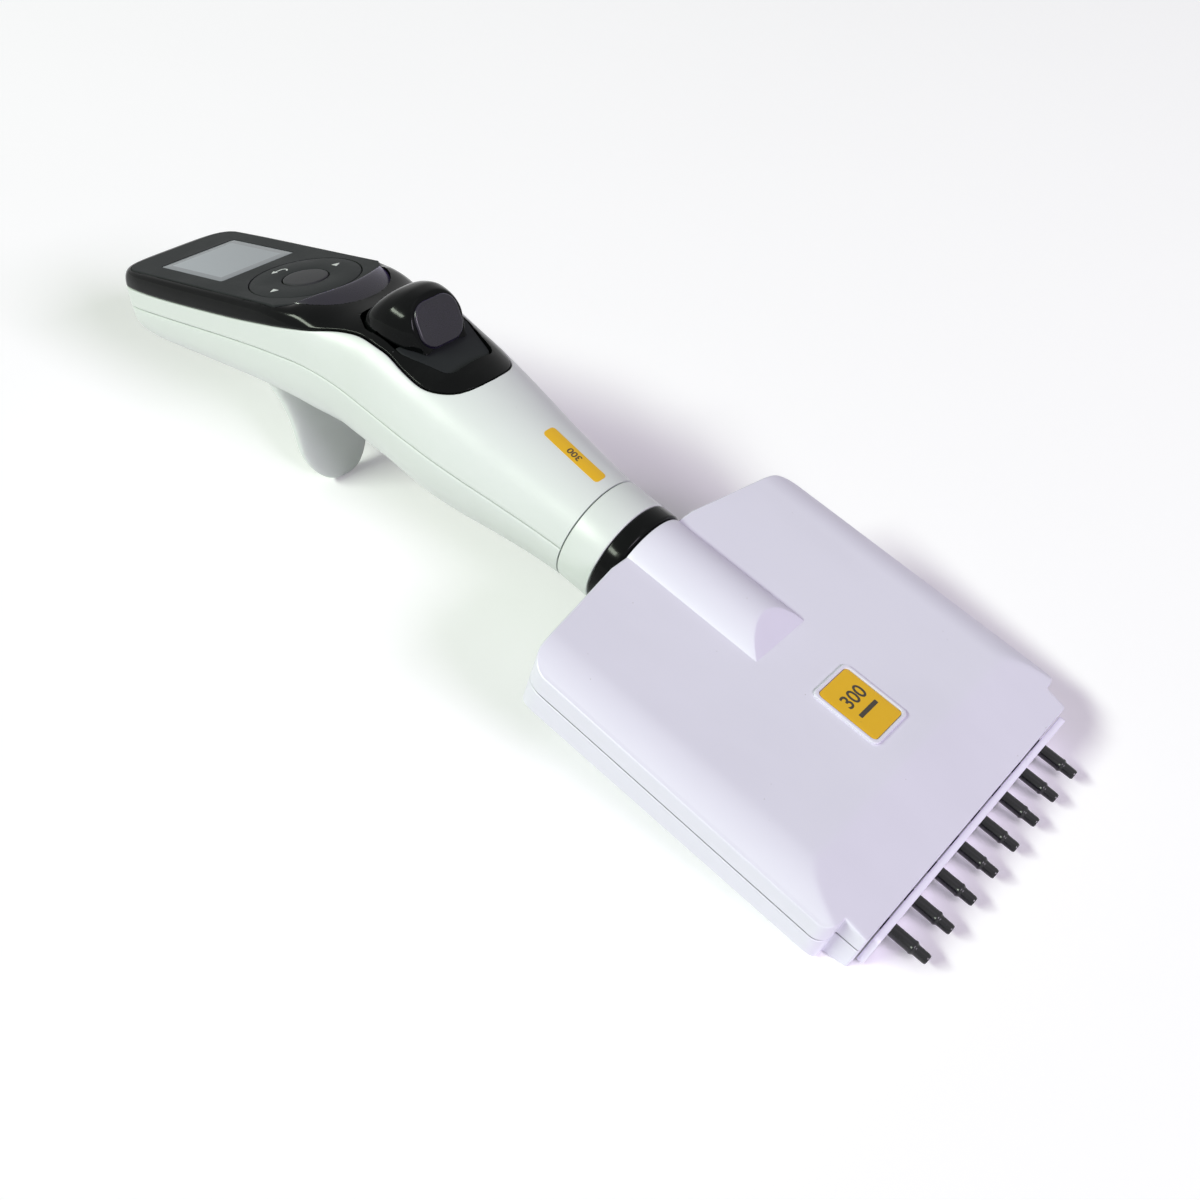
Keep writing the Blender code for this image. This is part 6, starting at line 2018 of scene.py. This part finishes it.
@dataclass
class Stage:
    """Plain bench, soft studio lights and the camera of the photograph."""

    floor_size: float = 30.0
    floor_drop: float = 0.00002
    floor_steps: int = 8
    lens: float = 42.05
    location: tuple = (0.16841417, -0.19857072, 0.21606888)
    forward: tuple = (-0.45231892, 0.61597059, -0.6449712)
    roll: float = 5.19275
    lights: tuple = (
        ("key_light", (-2.6, -4.3, 3.7), (0.0, 0.0, 0.0), 3.6, 0.8, 345.0, (0.89, 1.0, 0.84)),
        ("top_light", (1.8, 0.5, 5.8), (0.0, 0.0, 0.0), 3.8, 3.8, 15.0, (0.92, 0.82, 1.0)),
        ("fill_light", (4.6, -0.8, 2.7), (0.02, 0.0, 0.0), 2.2, 1.6, 190.0, (0.93, 0.84, 1.0)))
    world: Colour = (0.95, 0.93, 1.0)
    world_strength: float = 0.11
    horizon: Colour = (0.8, 0.8, 0.8)

    def floor(self) -> None:
        """Pale bench, a plain white to the camera and to mirrors of it."""
        half, lines = self.floor_size / 2, self.floor_steps + 1
        share = np.linspace(-half, half, lines)
        x, y = np.meshgrid(share, share, indexing="ij")
        points = points_of(x, y, -self.floor_drop)
        index = np.arange(lines ** 2).reshape(lines, lines)
        faces = np.stack([index[:-1, :-1], index[1:, :-1], index[1:, 1:], index[:-1, 1:]], -1).reshape(-1, 4)
        mesh = bpy.data.meshes.new("bench")
        mesh.from_pydata(points.reshape(-1, 3).tolist(), [], faces.tolist())
        item = bpy.data.objects.new("bench", mesh)
        bpy.context.scene.collection.objects.link(item)
        mesh.materials.append(Floor("bench", (0.965, 0.945, 0.975)).material())

    def light(self, name: str, place: tuple, target: tuple, width: float, height: float, power: float,
              colour: Colour) -> None:
        """Add a soft area light that faces a target.

        Args:
            name: the light's name.
            place: where it hangs.
            target: where it faces.
            width: its width in metres.
            height: its height in metres.
            power: its power in watts.
            colour: its colour.
        """
        data = bpy.data.lights.new(name, "AREA")
        data.shape = "RECTANGLE"
        data.size, data.size_y = width, height
        data.energy = power
        data.color = colour
        item = bpy.data.objects.new(name, data)
        bpy.context.scene.collection.objects.link(item)
        item.matrix_world = self.facing(np.array(place), np.array(target) - np.array(place), 0.0)

    @staticmethod
    def facing(place: Array, forward: Array, roll: float) -> Any:
        """Matrix of an object that looks along a direction.

        Args:
            place: where it stands.
            forward: the direction.
            roll: angle in degrees by which it is turned about that direction.

        Returns:
            The matrix.
        """
        forward = forward / np.linalg.norm(forward)
        right = np.cross(forward, (0.0, 0.0, 1.0))
        right /= np.linalg.norm(right)
        up = np.cross(right, forward)
        angle = math.radians(roll)
        side = math.cos(angle) * right + math.sin(angle) * up
        matrix = np.eye(4)
        matrix[:3, 0], matrix[:3, 1], matrix[:3, 2] = side, np.cross(side, forward), -forward
        matrix[:3, 3] = place
        return Matrix(matrix.tolist())

    def sky(self) -> None:
        """Even surroundings that show as a pale grey past the bench and in reflections."""
        world = bpy.data.worlds.new("studio")
        bpy.context.scene.world = world
        tree = Tree(world, "ShaderNodeMixShader", "ShaderNodeOutputWorld")
        light = tree.add("ShaderNodeBackground", {}, {"Color": self.world, "Strength": self.world_strength})
        pale = tree.add("ShaderNodeBackground", {}, {"Color": self.horizon, "Strength": 1.0})
        for index, value in enumerate((tree.seen(), light, pale)):
            tree.set(tree.shader.inputs[index], value)

    def camera(self) -> None:
        """Camera that stands where the photograph was taken."""
        data = bpy.data.cameras.new("photo_camera")
        data.lens = self.lens
        data.sensor_width = 36.0
        data.clip_start, data.clip_end = 0.01, 20.0
        item = bpy.data.objects.new("photo_camera", data)
        bpy.context.scene.collection.objects.link(item)
        item.matrix_world = self.facing(np.array(self.location), np.array(self.forward), self.roll)
        bpy.context.scene.camera = item

    def build(self) -> None:
        """Set the stage."""
        self.floor()
        for light in self.lights:
            self.light(*light)
        self.sky()
        self.camera()
        bpy.context.scene.view_settings.view_transform = "Standard"


def main() -> None:
    """Build the looks over the frame."""
    logging.basicConfig(level=logging.INFO, format="%(name)s: %(message)s")
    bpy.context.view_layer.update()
    controls = Controls()
    Housing(controls).build()
    controls.build()
    Lever().build()
    Head().build()
    Stripper().build()
    Fittings().build()
    Printing().build()
    CadDress().build()
    Stage().build()


if __name__ == "__main__":
    main()
